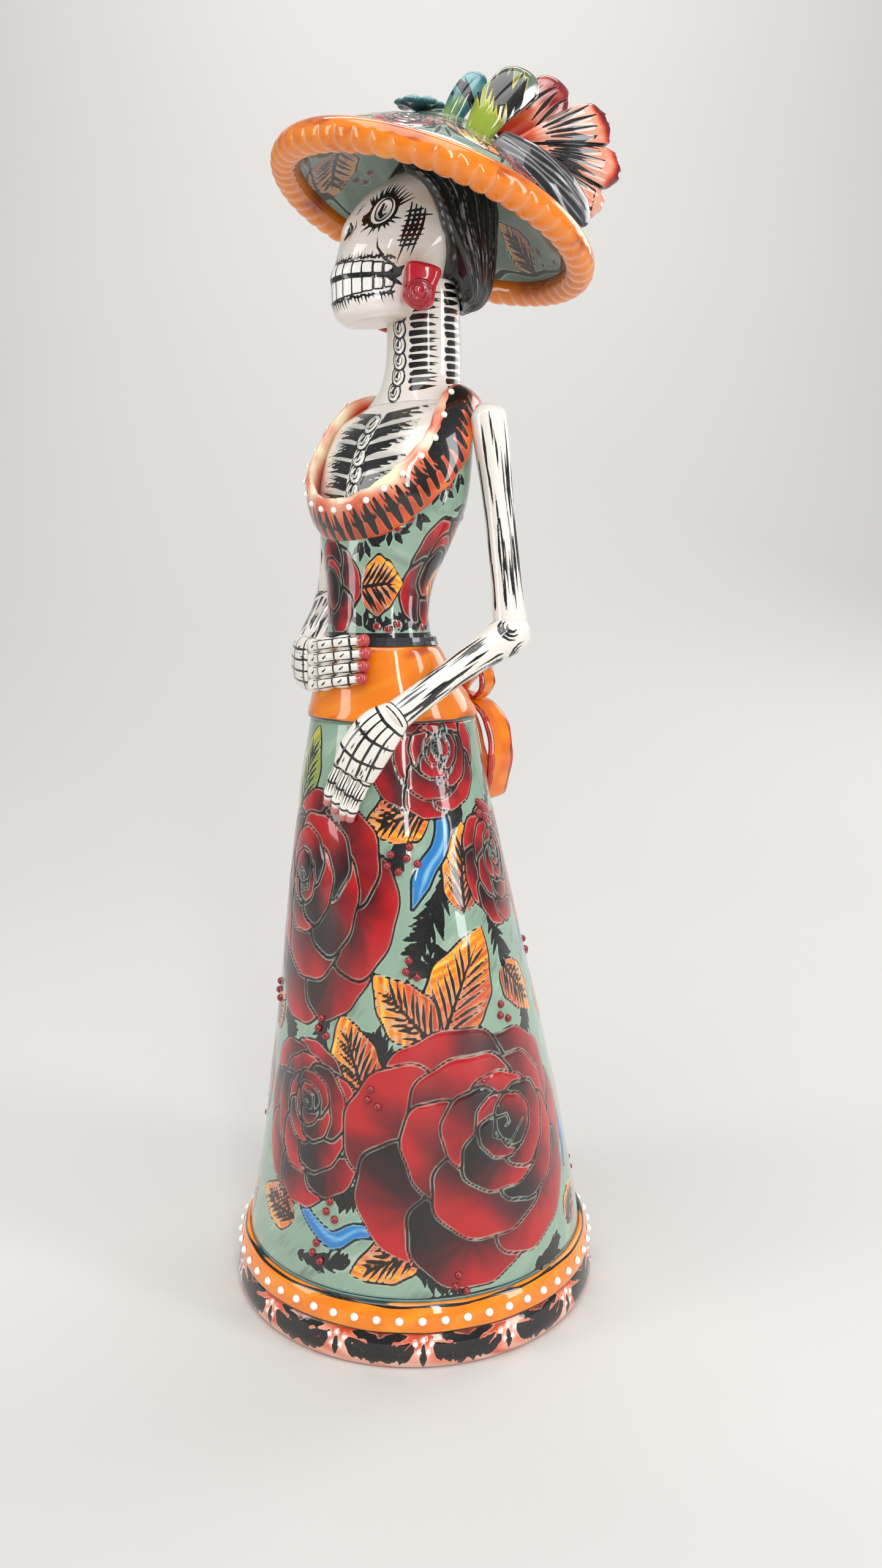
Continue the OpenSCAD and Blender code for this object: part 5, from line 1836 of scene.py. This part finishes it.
    @staticmethod
    def temple(skin: Skin, side: int) -> None:
        """Paints the cross lines of a temple.

        Args:
            skin: the skull.
            side: 1 for the lady's left or -1 for her right.
        """
        rng = np.random.default_rng(3)
        spot = skin.near(side * 80, 11.5, 9, 11)
        for k in range(4):
            x = side * (-2.2 + 1.4 * k)
            spot.stroke([(x - 1.2 * side, 6.8 - 0.5 * k), (x, 0),
                         (x + 0.9 * side, -6.2 + rng.normal(0, 0.9))], [0.4, 1.0, 0.25])
        for k in range(8):
            y, drift = 5.0 - 1.3 * k + rng.normal(0, 0.15), 0.25 * side * (k - 4)
            spot.stroke([((-3.0 + rng.normal(0, 0.4)) * side + drift, y - 0.5), (drift, y),
                         ((2.4 + rng.normal(0, 0.5)) * side + drift, y + 0.5)],
                        [0.3, 0.8, 0.25])

    @staticmethod
    def sweep(front: float, height: float, oval: Point, count: int, trim: float) -> Array:
        """Walks round an oval, from one edge of the hair to the other.

        Args:
            front: angle of the hair's front edge.
            height: height of the section above the mouth.
            oval: its half width, half depth and middle.
            count: number of points.
            trim: how far outside the oval the points lie.

        Returns:
            The points.
        """
        rx, ry, y0 = oval
        t = np.radians(np.linspace(front, 180 - front, count))
        q = 1.0 - y0
        qa = (np.cos(t) / rx) ** 2 + (np.sin(t) / ry) ** 2
        qb, qc = q * np.sin(t) / ry**2, (q / ry) ** 2 - 1
        r = (-qb + np.sqrt(np.maximum(qb**2 - qa * qc, 0))) / qa + trim
        return np.stack([r * np.cos(t), 1 + r * np.sin(t), np.full(count, height)], 1)

    def locks(self) -> Skin:
        """Models and paints the hair.

        Returns:
            The painted skin.
        """
        dz = np.concatenate([np.linspace(-4.5, -3.2, 10), np.linspace(-3.0, 35, 130)])
        front, wide, deep, mid = (table(dz, [(h[0], h[k]) for h in self.hair]) for k in (1, 2, 3, 4))
        a, b, m = self.ovals(np.maximum(dz, 0.3))
        low_part = smooth(2.4, 0.3, dz)
        a, b, m = a + (12.4 - a) * low_part, b + (12.8 - b) * low_part, m + (0.4 - m) * low_part
        low = np.sqrt(np.clip(1 - (1 - np.clip((dz + 4.5) / 1.3, 0, 1)) ** 2, 0, 1))
        outer_n, inner_n = 250, 40
        rows = []
        for k, h in enumerate(dz):
            near = self.sweep(front[k], h, (a[k] + 0.1, b[k] + 0.1, m[k]), inner_n, 0)
            far = self.sweep(front[k], h, (wide[k], deep[k], mid[k]), outer_n, -0.35 - 1.6 * (1 - low[k]))
            ends = np.minimum(np.arange(outer_n), np.arange(outer_n)[::-1])
            edge = np.sqrt(np.clip(ends / 7.0, 0, 1))[:, None]
            share = np.linspace(0, inner_n - 1, outer_n)
            close = np.stack([np.interp(share, np.arange(inner_n), near[:, c]) for c in range(3)], 1)
            rows.append(np.vstack([close + (far - close) * edge, near[::-1][1:-1]]))
        rings = HAT.under(POSE.head(np.array(rows) + [0, 0, POSE.mouth_z]), 0.1)
        skin = Skin(rings, Glaze.BLACK, dz)
        cols = rings.shape[1]
        t = np.tile(np.arange(cols, dtype=float), len(dz))
        h = np.repeat(dz, cols)
        flow = t + 1.4 * np.sin(h / 7.0) + 0.35 * h * np.sign(t - outer_n / 2)
        fine = Grain(81)(flow, h * 0.12, 5.2) + 0.5 * Grain(82)(flow, h * 0.1, 2.4)
        outside = t < outer_n
        strand = np.abs((flow * 0.16 + 0.5 * Grain(85)(flow, h * 0.1, 14.0)) % 1.0 - 0.5)
        broken = smooth(-0.5, 0.3, Grain(83)(flow * 0.6, h * 0.7, 7.0))
        streak = smooth(0.11, 0.02, strand) * broken + 0.3 * smooth(0.5, 1.0, fine)
        skin.colour(ramp(np.clip(streak, 0, 1) * 1.05, (Glaze.BLACK, Glaze.CHARCOAL, Glaze.ASH, Glaze.WASH)))
        relief = 0.35 * smooth(0.0, 0.16, strand) + 0.2 * Grain(84)(flow, h * 0.1, 9.0) + 0.1 * fine
        skin.lift = np.where(outside, relief, 0.0)
        return skin

    def build(self) -> None:
        """Makes the skull, the hair and the earrings."""
        self.skull().mesh("painted_skull", BONE_GLAZE, "skull", "jaw", slot="bone_white")
        self.locks().mesh("long_hair", BLACK_GLAZE, "hair", slot="glaze_black")
        red = Finish("earring_glaze", ink=Glaze.MAROON, pale=Glaze.PINK, halo=0.1, pool=Glaze.MAROON,
                     mottle=0.1)
        for side, word in ((1, "left"), (-1, "right")):
            m = POSE.mouth_z
            skin = rod([(15.9 * side, -3.6, m + 2.9), (15.6 * side, -4.4, m - 1.3),
                        (15.2 * side, -5.2, m - 5.5), (14.5 * side, -5.8, m - 9.1)],
                       [(0, 4.4), (0.15, 4.8), (0.5, 4.2), (0.75, 4.4), (1, 3.4)], (side, -0.3, 0),
                       Glaze.LIP_RED, 90, 80,
                       [(0, 2.6), (0.3, 3.1), (0.8, 3.0), (1, 1.8)], (1.3, 2.4), 0.72)
            skin.rings = POSE.head(skin.rings)
            x, y = skin.grid
            skin.colour(ramp(0.5 + 0.4 * Grain(91)(x, y, 9), (Glaze.LIP_RED, Glaze.LIP_RED, Glaze.SCARLET)))
            spot = skin.near(90, 8.2, 6)
            for k, r in enumerate((3.0, 2.1, 1.2)):
                dent = np.hypot(spot.x * 0.9, spot.y + 0.3 * k) - r
                ridge = 0.22 * np.exp(-(dent / 0.35) ** 2) - 0.2 * np.exp(-((dent + 0.5) / 0.3) ** 2)
                spot.skin.lift[spot.index] += ridge
                spot.tint(0.5 * np.exp(-(dent / 0.5) ** 2), Glaze.MAROON)
            skin.mesh(f"{word}_rose_earring", red, f"earring_{word}", slot="glaze_red")


# ---------- hat ----------


@dataclass
class Hat:
    """The wide hat, painted above and below, with its rolled edge."""

    columns: int = 330

    def shell(self) -> Skin:
        """Builds and paints the hat.

        Returns:
            The painted skin.
        """
        r = np.concatenate([np.linspace(0.05, 8, 14), np.linspace(8.5, 41.8, 96)])
        top = HAT.outer(r)
        inset = np.where(r > 20, 0.9 * smooth(20, 26, r), 0.0)
        low_r, low_z = (r - inset)[::-1], (top - HAT.wall + 0.6 * smooth(36, 40, r))[::-1]
        a = np.radians(np.arange(self.columns) * 360 / self.columns)
        rr, zz = np.concatenate([r, low_r]), np.concatenate([top, low_z])
        rings = np.stack([rr[:, None] * np.cos(a), rr[:, None] * np.sin(a),
                          np.repeat(zz[:, None], len(a), 1)], -1)
        # The lining's distances start at 200, so that no brush on the top reaches it
        along = np.concatenate([r, 200 + low_r])
        skin = Skin(POSE.hat(rings), Glaze.SAGE, along)
        x, y = skin.grid
        ground(skin, 101, (Glaze.SAGE_GREY, Glaze.SAGE_GREY, Glaze.SAGE, Glaze.SAGE_PALE), 16)
        lining = y > 150
        # Painted shade: the lining under the brim gets a darker grey-green ground than the top face
        dim = ramp(0.5 + 0.4 * Grain(103)(x, y, 15), (Glaze.SAGE_GREY, Glaze.SAGE_GREY, Glaze.SAGE))
        skin.paint[lining] = dim[lining]
        self.above(skin)
        self.below(skin)
        return skin

    @staticmethod
    def above(skin: Skin) -> None:
        """Paints the top of the brim and the crown.

        Args:
            skin: the hat.
        """
        brush = Painter(skin, lambda along: max(along if along < 150 else along - 200, 4) * math.pi / 180,
                        107)
        for k in range(12):
            brush.fern(30 * k + 8, 33, 80 + 20 * math.sin(k), 6, 5, 110, 1.2)
            brush.fern(30 * k + 22, 24, -90, 5, 4, 90, 1.1)
        for k, warm in enumerate((True, True, False, True, True, False)):
            brush.leaf((60 * k - 22, 27), (60 * k + 6, 36), 4.6, warm, 5)
            brush.leaf((60 * k + 44, 20), (60 * k + 20, 25), 4.0, not warm, 4)
        for k in range(6):
            brush.rose(60 * k - 8 + 28, 32, 9, 7.6, (1, 1), 50 * k)
        for k in range(3):
            brush.rose(120 * k + 40, 14, 6, 6, (0, 0), 30 * k)
        edge = skin.near(0, 40.6, ALL_ROUND, 2.2)
        edge.stroke([(-300, 0.4), (300, 0.4)], [0.8])

    @staticmethod
    def below(skin: Skin) -> None:
        """Paints the lining of the brim.

        Args:
            skin: the hat.
        """
        brush = Painter(skin, lambda along: max(along - 200, 4) * math.pi / 180, 109)
        for root, tip, half in (((-112, 231), (-142, 238), 6.4), ((60, 228), (42, 241), 6.4),
                                ((150, 224), (166, 237), 5.6),
                                ((-28, 226), (-50, 238), 5.6), ((104, 238), (118, 225), 5.2),
                                ((-160, 224), (-178, 236), 5.2)):
            brush.leaf(root, tip, half, True, 6, 0.5)
        x, y = skin.grid
        lining = Spot(skin, np.flatnonzero(y > 150), x[y > 150], y[y > 150])
        # Painted shade: a grey wash that darkens the whole underside of the brim
        lining.tint(np.full(len(lining.x), 0.36), Glaze.SAGE_GREY)
        lining.tint(smooth(222, 214, lining.y) * 0.9, Glaze.BLACK)
        for angle, r in ((-145, 229.6), (-140, 227), (94, 221), (90, 223.5), (96, 234), (97, 237),
                         (86, 237.5), (-64, 230), (-60, 233), (-68, 234),
                         (134, 230), (130, 233.5), (138, 234), (-140, 231), (-136, 234), (10, 231),
                         (6, 234), (14, 234.6)):
            brush.dots([(angle, r)], 1.1, Glaze.MAROON, 0.2, 0.15)
        for k in range(40):
            brush.fern(9 * k, 215, 90 + 10 * math.sin(2.1 * k), 5.2, 2, 34, 0.9)
        wave = 238.6 + 0.9 * np.sin(lining.x / 3.4) * np.sin(lining.x / 11.0)
        s = np.abs(lining.y - wave) - 0.36
        skin.ink[lining.index] = np.minimum(skin.ink[lining.index], s)

    def roll(self) -> Skin:
        """Builds and paints the pinched roll round the brim.

        Returns:
            The painted skin.
        """
        count, sides = 840, 72
        t = np.linspace(0, 2 * math.pi, count, endpoint=False)
        a = np.radians(np.arange(sides) * 360 / sides)
        phase = 54 * t + 0.8 * np.sin(3 * t) + 0.6 * np.sin(7 * t)
        pinch = 1 - np.abs(np.sin(phase / 2)) ** 0.55
        low = smooth(0.35, -0.6, np.sin(a)) * smooth(-0.95, -0.1, np.cos(a + 0.3))
        r = HAT.roll_r + 0.12 * np.sin(5 * t + 1)[:, None] - 0.75 * pinch[:, None] * low - 0.1 + 0.14 * low
        rr = HAT.brim_r + r * np.cos(a)
        rings = np.stack([rr * np.cos(t)[:, None], rr * np.sin(t)[:, None], r * np.sin(a)], -1)
        skin = Skin(POSE.hat(rings), Glaze.ORANGE, np.arange(count) * 2 * math.pi * HAT.brim_r / count,
                    looped=True)
        x, y = skin.grid
        groove = (pinch[:, None] ** 1.6 * low).ravel()
        shade = 0.2 * np.repeat((1 - low)[None], count, 0).ravel()
        tone = 0.5 + 0.28 * Grain(121)(x, y, 24) + 0.1 * Grain(122)(x * 3, y, 6) - shade
        paint = ramp(tone, (Glaze.RUST, Glaze.ORANGE, Glaze.ORANGE, Glaze.AMBER))
        skin.colour(paint + (Glaze.CREAM.linear - paint) * (0.24 * groove)[:, None])
        return skin

    def build(self) -> None:
        """Makes the hat and its roll."""
        self.shell().mesh("painted_hat", PAINTED, "hat", slot="glaze_green")
        self.roll().mesh("pinched_hat_roll", ORANGE_GLAZE, "hat_roll", slot="glaze_orange")


@dataclass
class Ornaments:
    """The plumes, leaves and flowers on the hat."""

    root: tuple[float, float, float] = (19.6, 6.4, 18.2)
    edges: tuple[float, ...] = (-14, 6, 26, 50)
    reach: tuple[tuple[float, float], ...] = ((-14, 31), (-3, 33.5), (16, 37), (38, 34), (50, 31))
    thick: float = 2.7

    def fan(self) -> Skin:
        """Builds and paints the fan of three plumes.

        Returns:
            The painted skin.
        """
        rows, angle, share = [], [], []
        s = np.concatenate([np.linspace(0.08, 0.9, 50), np.linspace(0.91, 1, 14)])
        for lobe in range(3):
            for t in np.linspace(0, 1, 46, endpoint=lobe == 2):
                a = self.edges[lobe] + (self.edges[lobe + 1] - self.edges[lobe]) * t
                bulge = math.sqrt(max(1 - (2 * t - 1) ** 2, 0))
                end = 1 if (lobe, t) in ((0, 0.0), (2, 1.0)) else 0
                long = float(table(np.array([a]), self.reach)[0]) * (0.85 + 0.15 * bulge)
                half = self.thick * (0.55 + 0.45 * bulge) * (0.25 if end else 1)
                half = half * np.interp(s, [0, 0.5, 0.8, 0.9], [0.8, 1, 0.97, 0.9])
                half = half * np.sqrt(np.clip(1 - np.clip((s - 0.9) / 0.1, 0, 1) ** 2, 0.002, 1))
                mid = 1.6 * np.sin(math.pi * s) - 1.4 * s
                line = [np.stack([self.root[0] + mid + k * half,
                                  self.root[1] + s * long * math.cos(math.radians(a)),
                                  self.root[2] + s * long * math.sin(math.radians(a))], 1) for k in (1, -1)]
                rows.append(np.vstack([line[0], line[1][::-1]]))
                angle.append(a)
                share.append(np.concatenate([s, s[::-1]]) * long)
        rings = POSE.hat(HAT.seat(np.array(rows)))
        skin = Skin(rings, Glaze.SALMON, np.array(angle))
        r = np.array(share)
        a = np.radians(np.array(angle))[:, None]
        flat = Spot(skin, np.arange(r.size), (r * np.cos(a)).ravel(), (r * np.sin(a)).ravel())
        deg = np.degrees(np.arctan2(flat.y, flat.x))
        rr = r.ravel()
        edge = np.interp(deg, self.edges, [0, 1, 2, 3]) % 1.0
        rim = rr / np.interp(deg, [p[0] for p in self.reach], [p[1] for p in self.reach])
        tips = 0.95 * smooth(0.84, 1.0, rim) * (deg > 5)
        tone = 0.2 + 0.16 * Grain(131)(flat.x, flat.y, 12) + tips + 0.35 * smooth(0.4, 0.1, rim)
        skin.colour(ramp(tone, (Glaze.PINK, Glaze.SALMON, Glaze.VERMILION, Glaze.CRIMSON, Glaze.MAROON)))
        rng = np.random.default_rng(8)
        for lobe, count in ((1, 8), (2, 6)):
            low, high = self.edges[lobe], self.edges[lobe + 1]
            for k in range(count):
                t = math.radians(low + (high - low) * (k + 0.6) / count)
                r0 = 12 + 2 * (k % 2) + rng.normal(0, 0.6)
                r1 = 29 - 3 * abs(k / count - 0.5) + rng.normal(0, 0.8)
                bend = 0.03 * (k - count / 2)
                flat.stroke([(r0 * math.cos(t), r0 * math.sin(t)),
                             (0.5 * (r0 + r1) * math.cos(t + bend * 0.4),
                              0.5 * (r0 + r1) * math.sin(t + bend * 0.4)),
                             (r1 * math.cos(t + bend), r1 * math.sin(t + bend))], [0.4, 1.35, 0.3])
        for r0, r1, t0, t1, w in ((20, 29, 3, 2, 1.5), (29, 30, 2, -7, 1.1), (30, 24, -7, -10, 1.3),
                                  (24, 19, -10, 1, 0.9), (13, 19, 4, 2, 1.4),
                                  (12, 18, -2, -4, 1.4), (22, 27, -2, -5, 2.6)):
            p, q = math.radians(t0), math.radians(t1)
            flat.stroke([(r0 * math.cos(p), r0 * math.sin(p)), (r1 * math.cos(q), r1 * math.sin(q))],
                        [w * 0.5, w, w * 0.4])
        for bound in self.edges[1:3]:
            t = math.radians(bound)
            flat.stroke([(6 * math.cos(t), 6 * math.sin(t)), (32 * math.cos(t), 32 * math.sin(t))],
                        [0.7, 0.6, 1.0])
        skin.lift = 0.12 * np.sin(edge * math.pi * 8) * smooth(6, 14, rr)
        return skin

    @staticmethod
    def petal(points: Sequence[Point], root: float, wide: float, thick: float, face: Point, seed: int,
              colours: Sequence[Glaze], stripes: int, slant: float = 0.0, width: float = 1.1) -> Skin:
        """Builds and paints a thick leaf or plume.

        Args:
            points: its middle line from the root.
            root: half its width at the root.
            wide: half its greatest width.
            thick: half its thickness.
            face: the way that it looks.
            seed: a number that fixes its strokes.
            colours: its colours from the root to the tip.
            stripes: number of dark strokes.
            slant: how far the strokes lean from its length, in degrees.
            width: width of a stroke.

        Returns:
            The painted skin, in the hat's frame.
        """
        skin = rod(points, [(0, root), (0.35, root + 0.7 * (wide - root)), (0.72, wide),
                            (0.9, wide * 0.86), (1, wide * 0.72)], face, colours[0],
                   110, 96, [(0, thick * 0.8), (0.5, thick), (0.85, thick), (1, thick * 0.8)],
                   (0.8, wide * 0.8))
        skin.rings = HAT.seat(skin.rings)
        x, y = skin.grid
        size = float(skin.along[-1, 0])
        skin.colour(ramp(y / size + 0.16 * Grain(seed)(x, y, 9), colours))
        rng = np.random.default_rng(seed)
        for face_angle in (90, 270):
            for k in range(stripes):
                u = (k - (stripes - 1) / 2) / max(stripes, 1) * 2 * wide * 0.85
                mid = size * rng.uniform(0.5, 0.62)
                spot = skin.near(face_angle, mid, wide * 1.6, size)
                half = size * rng.uniform(0.2, 0.32)
                t = math.radians(slant + rng.normal(0, 4))
                dx, dy = half * math.sin(t), half * math.cos(t)
                spot.stroke([(u - dx, -dy), (u + rng.normal(0, 0.3), 0), (u + dx, dy)],
                            [0.25, width * rng.uniform(0.7, 1.2), 0.2])
            spot = skin.near(face_angle, size * 0.5, 3, size)
            fade = smooth(-size * 0.5, -size * 0.3, spot.y) * smooth(size * 0.45, size * 0.2, spot.y)
            spot.skin.lift[spot.index] -= 0.25 * np.exp(-(spot.x / 0.5) ** 2) * fade
        skin.rings = POSE.hat(skin.rings)
        return skin

    def blossom(self, place: Point, tilt: Point, petals: int, out: float, size: float,
                colours: Sequence[Glaze], seed: int) -> list[Skin]:
        """Builds a flower of separate petals in two rounds, and its bud.

        Args:
            place: where it stands on the hat.
            tilt: the way that it looks.
            petals: petals in the outer round.
            out: reach of the outer petals.
            size: half the width of a petal.
            colours: its colours from the root to the rim.
            seed: a number that fixes its strokes.

        Returns:
            The painted skins.
        """
        up = unit(np.asarray(tilt, dtype=float))
        side = unit(np.cross(up, [0.3, 1.0, 0.1]))
        other = np.cross(up, side)
        skins = []
        for ring, (count, reach, rise, half) in enumerate(((petals, out, 0.5, size),
                (max(petals - 3, 3), out * 0.62, 1.3, size * 0.82))):
            for k in range(count):
                t = 2 * math.pi * (k + 0.5 * ring) / count
                d = math.cos(t) * side + math.sin(t) * other
                line = [place + up * (rise - 0.6) + d * 0.2, place + up * (rise + 0.8) + d * reach * 0.55,
                        place + up * (rise + 0.5) + d * reach]
                face = up - 0.2 * d
                skin = rod(line, [(0, half * 0.5), (0.5, half), (0.85, half * 0.95), (1, half * 0.7)],
                           tuple(face), colours[0], 44, 44,
                           [(0, 0.7), (0.6, 0.95), (1, 0.7)], (0.4, half * 0.7))
                x, y = skin.grid
                long = float(skin.along[-1, 0])
                skin.colour(ramp(y / long + 0.18 * Grain(seed + k)(x, y, 3), colours))
                for u in (-0.5, 0.0, 0.5):
                    skin.near(90, long * 0.5, 4).stroke([(u * half, -0.2 * long),
                                                         (u * half * 1.5, 0.25 * long)], [0.45, 0.15])
                skin.rings = POSE.hat(HAT.seat(skin.rings, 0.9))
                skins.append(skin)
        bud = rod([place + up * 0.6, place + up * 1.9, place + up * 3.0], [(0, 1.5), (0.6, 1.7), (1, 1.1)],
                  (1, 0.2, 0), colours[1], 40, 40, ends=(0.6, 1.2))
        bud.rings = POSE.hat(bud.rings)
        x, y = bud.grid
        bud.ink = np.abs(((x / 3.4 + y * 0.9) % 1.6) - 0.8) - 0.12
        return skins + [bud]

    def build(self) -> None:
        """Makes every ornament."""
        plume = Finish("plume_glaze", pale=Glaze.PINK, halo=0.4, pool=Glaze.MAROON)
        leafy = Finish("leaf_glaze", pale=Glaze.YELLOW, halo=0.5, pool=Glaze.DEEP_GREEN)
        self.fan().mesh("fan_of_plumes", plume, "plume", slot="glaze_plume")
        red = (Glaze.SCARLET, Glaze.VERMILION, Glaze.SALMON, Glaze.CRIMSON, Glaze.MAROON)
        self.petal([(14, 7, 23), (14.6, 11.5, 31.5), (14, 16.5, 38.5), (13, 21.5, 43)], 3, 6.6, 2.3,
                   (1, -0.4, 0.2), 141, red, 5, 8).mesh(
            "upright_plume", plume, "plume_lobe", slot="glaze_plume")
        green = (Glaze.LEAF, Glaze.LEAF, Glaze.OLIVE, Glaze.SAGE_GREY, Glaze.DEEP_GREEN)
        leaf = self.petal([(20, -1, 16.6), (21.5, 0.6, 24.6), (21, 4.4, 32.4), (19, 9, 39)], 3.4, 6.2, 2,
                          (1, -0.5, 0.1), 143, green, 11, 28, 1.7)
        strip = leaf.near(90, 15, 12, 20)
        strip.tint(smooth(3.2, 3.9, -strip.x) * smooth(9, 4, np.abs(strip.y)), Glaze.SLIP)
        strip.stroke([(-5.6, -9), (-6.6, 0), (-5.8, 8)], [0.3, 0.6, 0.3])
        leaf.mesh("green_leaf", leafy, "leaf_green", slot="glaze_leaf")
        teal = (Glaze.LEAF, Glaze.TEAL, Glaze.TEAL_PALE, Glaze.TEAL)
        self.petal([(12, -7, 20), (12.6, -6.2, 26), (12.6, -4.4, 31.4), (12, -2, 36)], 2.4, 3.8, 1.7,
                   (1, -0.5, 0.1), 149, teal, 6, 62, 1.5).mesh(
            "teal_leaf", Finish("teal_glaze", pale=Glaze.TEAL_PALE, halo=0.5, pool=Glaze.DEEP_GREEN),
            "leaf_teal", slot="glaze_teal")
        self.petal([(-5, 17, 20.5), (-8, 26, 20.6), (-10, 32, 18), (-11.5, 37.5, 13.5)], 2.6, 6.2, 2,
                   (0, 0.45, 1), 151,
                   (Glaze.LEAF, Glaze.OLIVE, Glaze.LEAF, Glaze.YELLOW), 6, 18).mesh("back_leaf", leafy,
                           "leaf_back", slot="glaze_leaf")
        feather = self.petal([(25, 3.5, 17.4), (29.5, 12, 15), (31, 22.5, 11.8), (28.2, 34, 8)], 4.0, 6.2,
                             1.4, (1, -0.2, 0.5), 157,
                             (Glaze.CHARCOAL, Glaze.BLACK, Glaze.CHARCOAL), 0)
        x, y = feather.grid
        front = feather.near(90, 16, 9, 22)
        for u in (-3.4, -1.5, 0.2, 1.9, 3.6):
            away = np.abs(front.x - u - 0.4 * np.sin(front.y * 0.25 + u))
            front.tint(smooth(0.42, 0.12, away) * smooth(17, 11, np.abs(front.y)) * 0.7, Glaze.WASH)
        feather.mesh("dark_feather", BLACK_GLAZE, "hat_feather", slot="glaze_black")
        blue = (Glaze.DEEP_GREEN, Glaze.TEAL, Glaze.TEAL_PALE, Glaze.TEAL)
        rose = (Glaze.NIGHT_RED, Glaze.MAROON, Glaze.CRIMSON, Glaze.RED)
        for place, tilt, petals, out, size, colours, name, node, slot in (
                ((2.0, -13.5, 24.4), (0.1, -0.3, 1), 7, 7.4, 2.7, blue, "teal_blossom", "teal_flower",
                 "glaze_teal"),
                ((-13, -17, 20.6), (-0.45, -0.5, 1), 6, 5.6, 2.5, rose, "front_rose", "rose_front",
                 "glaze_red"),
                ((-20, 12, 19.4), (-0.7, 0.35, 1), 6, 5.6, 2.5, rose, "back_rose", "rose_back", "glaze_red")):
            skins = self.blossom(np.array(place), tilt, petals, out, size, colours, len(name))
            assemble(skins, name, PAINTED, node, slot=slot)


PARTS = (Skirt(), Bodice(), Bow(), Arms(), Head(), Hat(), Ornaments())


# ---------- stage ----------


@dataclass
class Studio:
    """The camera, the floor and the soft light."""

    camera_at: tuple[float, float, float] = (0.2313, -0.2628, 0.212)
    heading: float = 40.0
    pitch: float = 9.3
    lens: float = 27.05

    def camera(self) -> None:
        """Sets up the main view."""
        data = bpy.data.cameras.new("main_camera")
        data.lens, data.sensor_width = self.lens, 36.0
        data.clip_start, data.clip_end = 0.02, 10.0
        shot = bpy.data.objects.new("main_camera", data)
        shot.location = self.camera_at
        shot.rotation_euler = (math.radians(90 - self.pitch), 0.0, math.radians(self.heading))
        bpy.context.scene.collection.objects.link(shot)
        bpy.context.scene.camera = shot

    def floor(self) -> None:
        """Lays a plain pale floor that curves up behind the figure."""
        rows = [(-4.0, 0.0), (-1.0, 0.0), (0.0, 0.0), (0.6, 0.0), (1.2, 0.08), (1.8, 0.32), (2.3, 0.8),
                (2.6, 1.6), (2.7, 4.0)]
        c, s = math.cos(math.radians(self.heading)), math.sin(math.radians(self.heading))
        curve = spline(rows, 80)
        points = [(x * c - d * s, x * s + d * c, max(h, 0.0)) for d, h in curve for x in (-5.0, 5.0)]
        faces = [[2 * k, 2 * k + 1, 2 * k + 3, 2 * k + 2] for k in range(len(curve) - 1)]
        data = bpy.data.meshes.new("floor")
        data.from_pydata(points, [], faces)
        data.polygons.foreach_set("use_smooth", [True] * len(faces))
        web = Web("pale_floor")
        plain = web.node("ShaderNodeBsdfPrincipled", {}, {"Base Color": (0.6, 0.59, 0.57, 1.0),
                                                          "Roughness": 0.75})
        web.node_out(plain)
        data.materials.append(web.material)
        sheet = bpy.data.objects.new("floor", data)
        bpy.context.scene.collection.objects.link(sheet)

    def lamp(self, name: str, angle: float, height: float, away: float, size: tuple[float, float],
             power: float,
             colour: tuple[float, float, float] = (1.0, 1.0, 1.0),
             target: tuple[float, float, float] = (0.0, 0.0, 0.2)) -> None:
        """Hangs a soft rectangular lamp that faces the figure.

        Args:
            name: its name.
            angle: the way to it from the figure, in degrees from the camera's side.
            height: its height.
            away: its distance.
            size: its width and height.
            power: its power in watts.
            colour: its tint.
            target: the point that it faces.
        """
        data = bpy.data.lights.new(name, "AREA")
        data.shape, data.size, data.size_y = "RECTANGLE", size[0], size[1]
        data.energy, data.color = power, colour
        lamp = bpy.data.objects.new(name, data)
        t = math.radians(self.heading - 90 + angle)
        place = np.array([away * math.cos(t), away * math.sin(t), height])
        aim = np.array(target) - place
        lamp.location = place
        lamp.rotation_euler = (math.acos(-aim[2] / np.linalg.norm(aim)), 0.0,
                               math.atan2(aim[1], aim[0]) - math.pi / 2)
        bpy.context.scene.collection.objects.link(lamp)

    def light(self) -> None:
        """Lights the figure as a bright room does."""
        self.lamp("tall_window", 14, 0.6, 1.1, (0.1, 0.9), 4.2, (1.0, 0.98, 0.95))
        self.lamp("side_window", 62, 0.5, 1.0, (0.2, 0.9), 4.4, (0.96, 0.98, 1.0))
        self.lamp("far_window", -70, 0.55, 1.1, (0.3, 0.9), 4.0, (1.0, 0.99, 0.97))
        self.lamp("overhead", -10, 1.5, 0.5, (1.2, 1.2), 14.0)
        self.lamp("back_fill", 128, 0.8, 1.3, (0.7, 0.7), 5.0)
        self.lamp("wall_wash", 180, 2.4, 1.0, (2.0, 0.6), 40.0, (1.0, 1.0, 1.0), (-1.7, 2.0, 0.9))
        world = bpy.data.worlds.new("room")
        world.use_nodes = True
        sky = world.node_tree.nodes["Background"]
        sky.inputs["Color"].default_value = (0.86, 0.88, 0.9, 1.0)
        sky.inputs["Strength"].default_value = 0.34
        bpy.context.scene.world = world
        bpy.context.scene.view_settings.view_transform = "Standard"

    def build(self) -> None:
        """Makes the whole stage."""
        self.floor()
        self.light()
        self.camera()


def main() -> None:
    """Builds every piece in order."""
    logging.basicConfig(level=logging.INFO, format="%(message)s")
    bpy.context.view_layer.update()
    for part in PARTS:
        part.build()
        LOG.info("built %s", type(part).__name__)
    Studio().build()


if __name__ == "__main__":
    main()
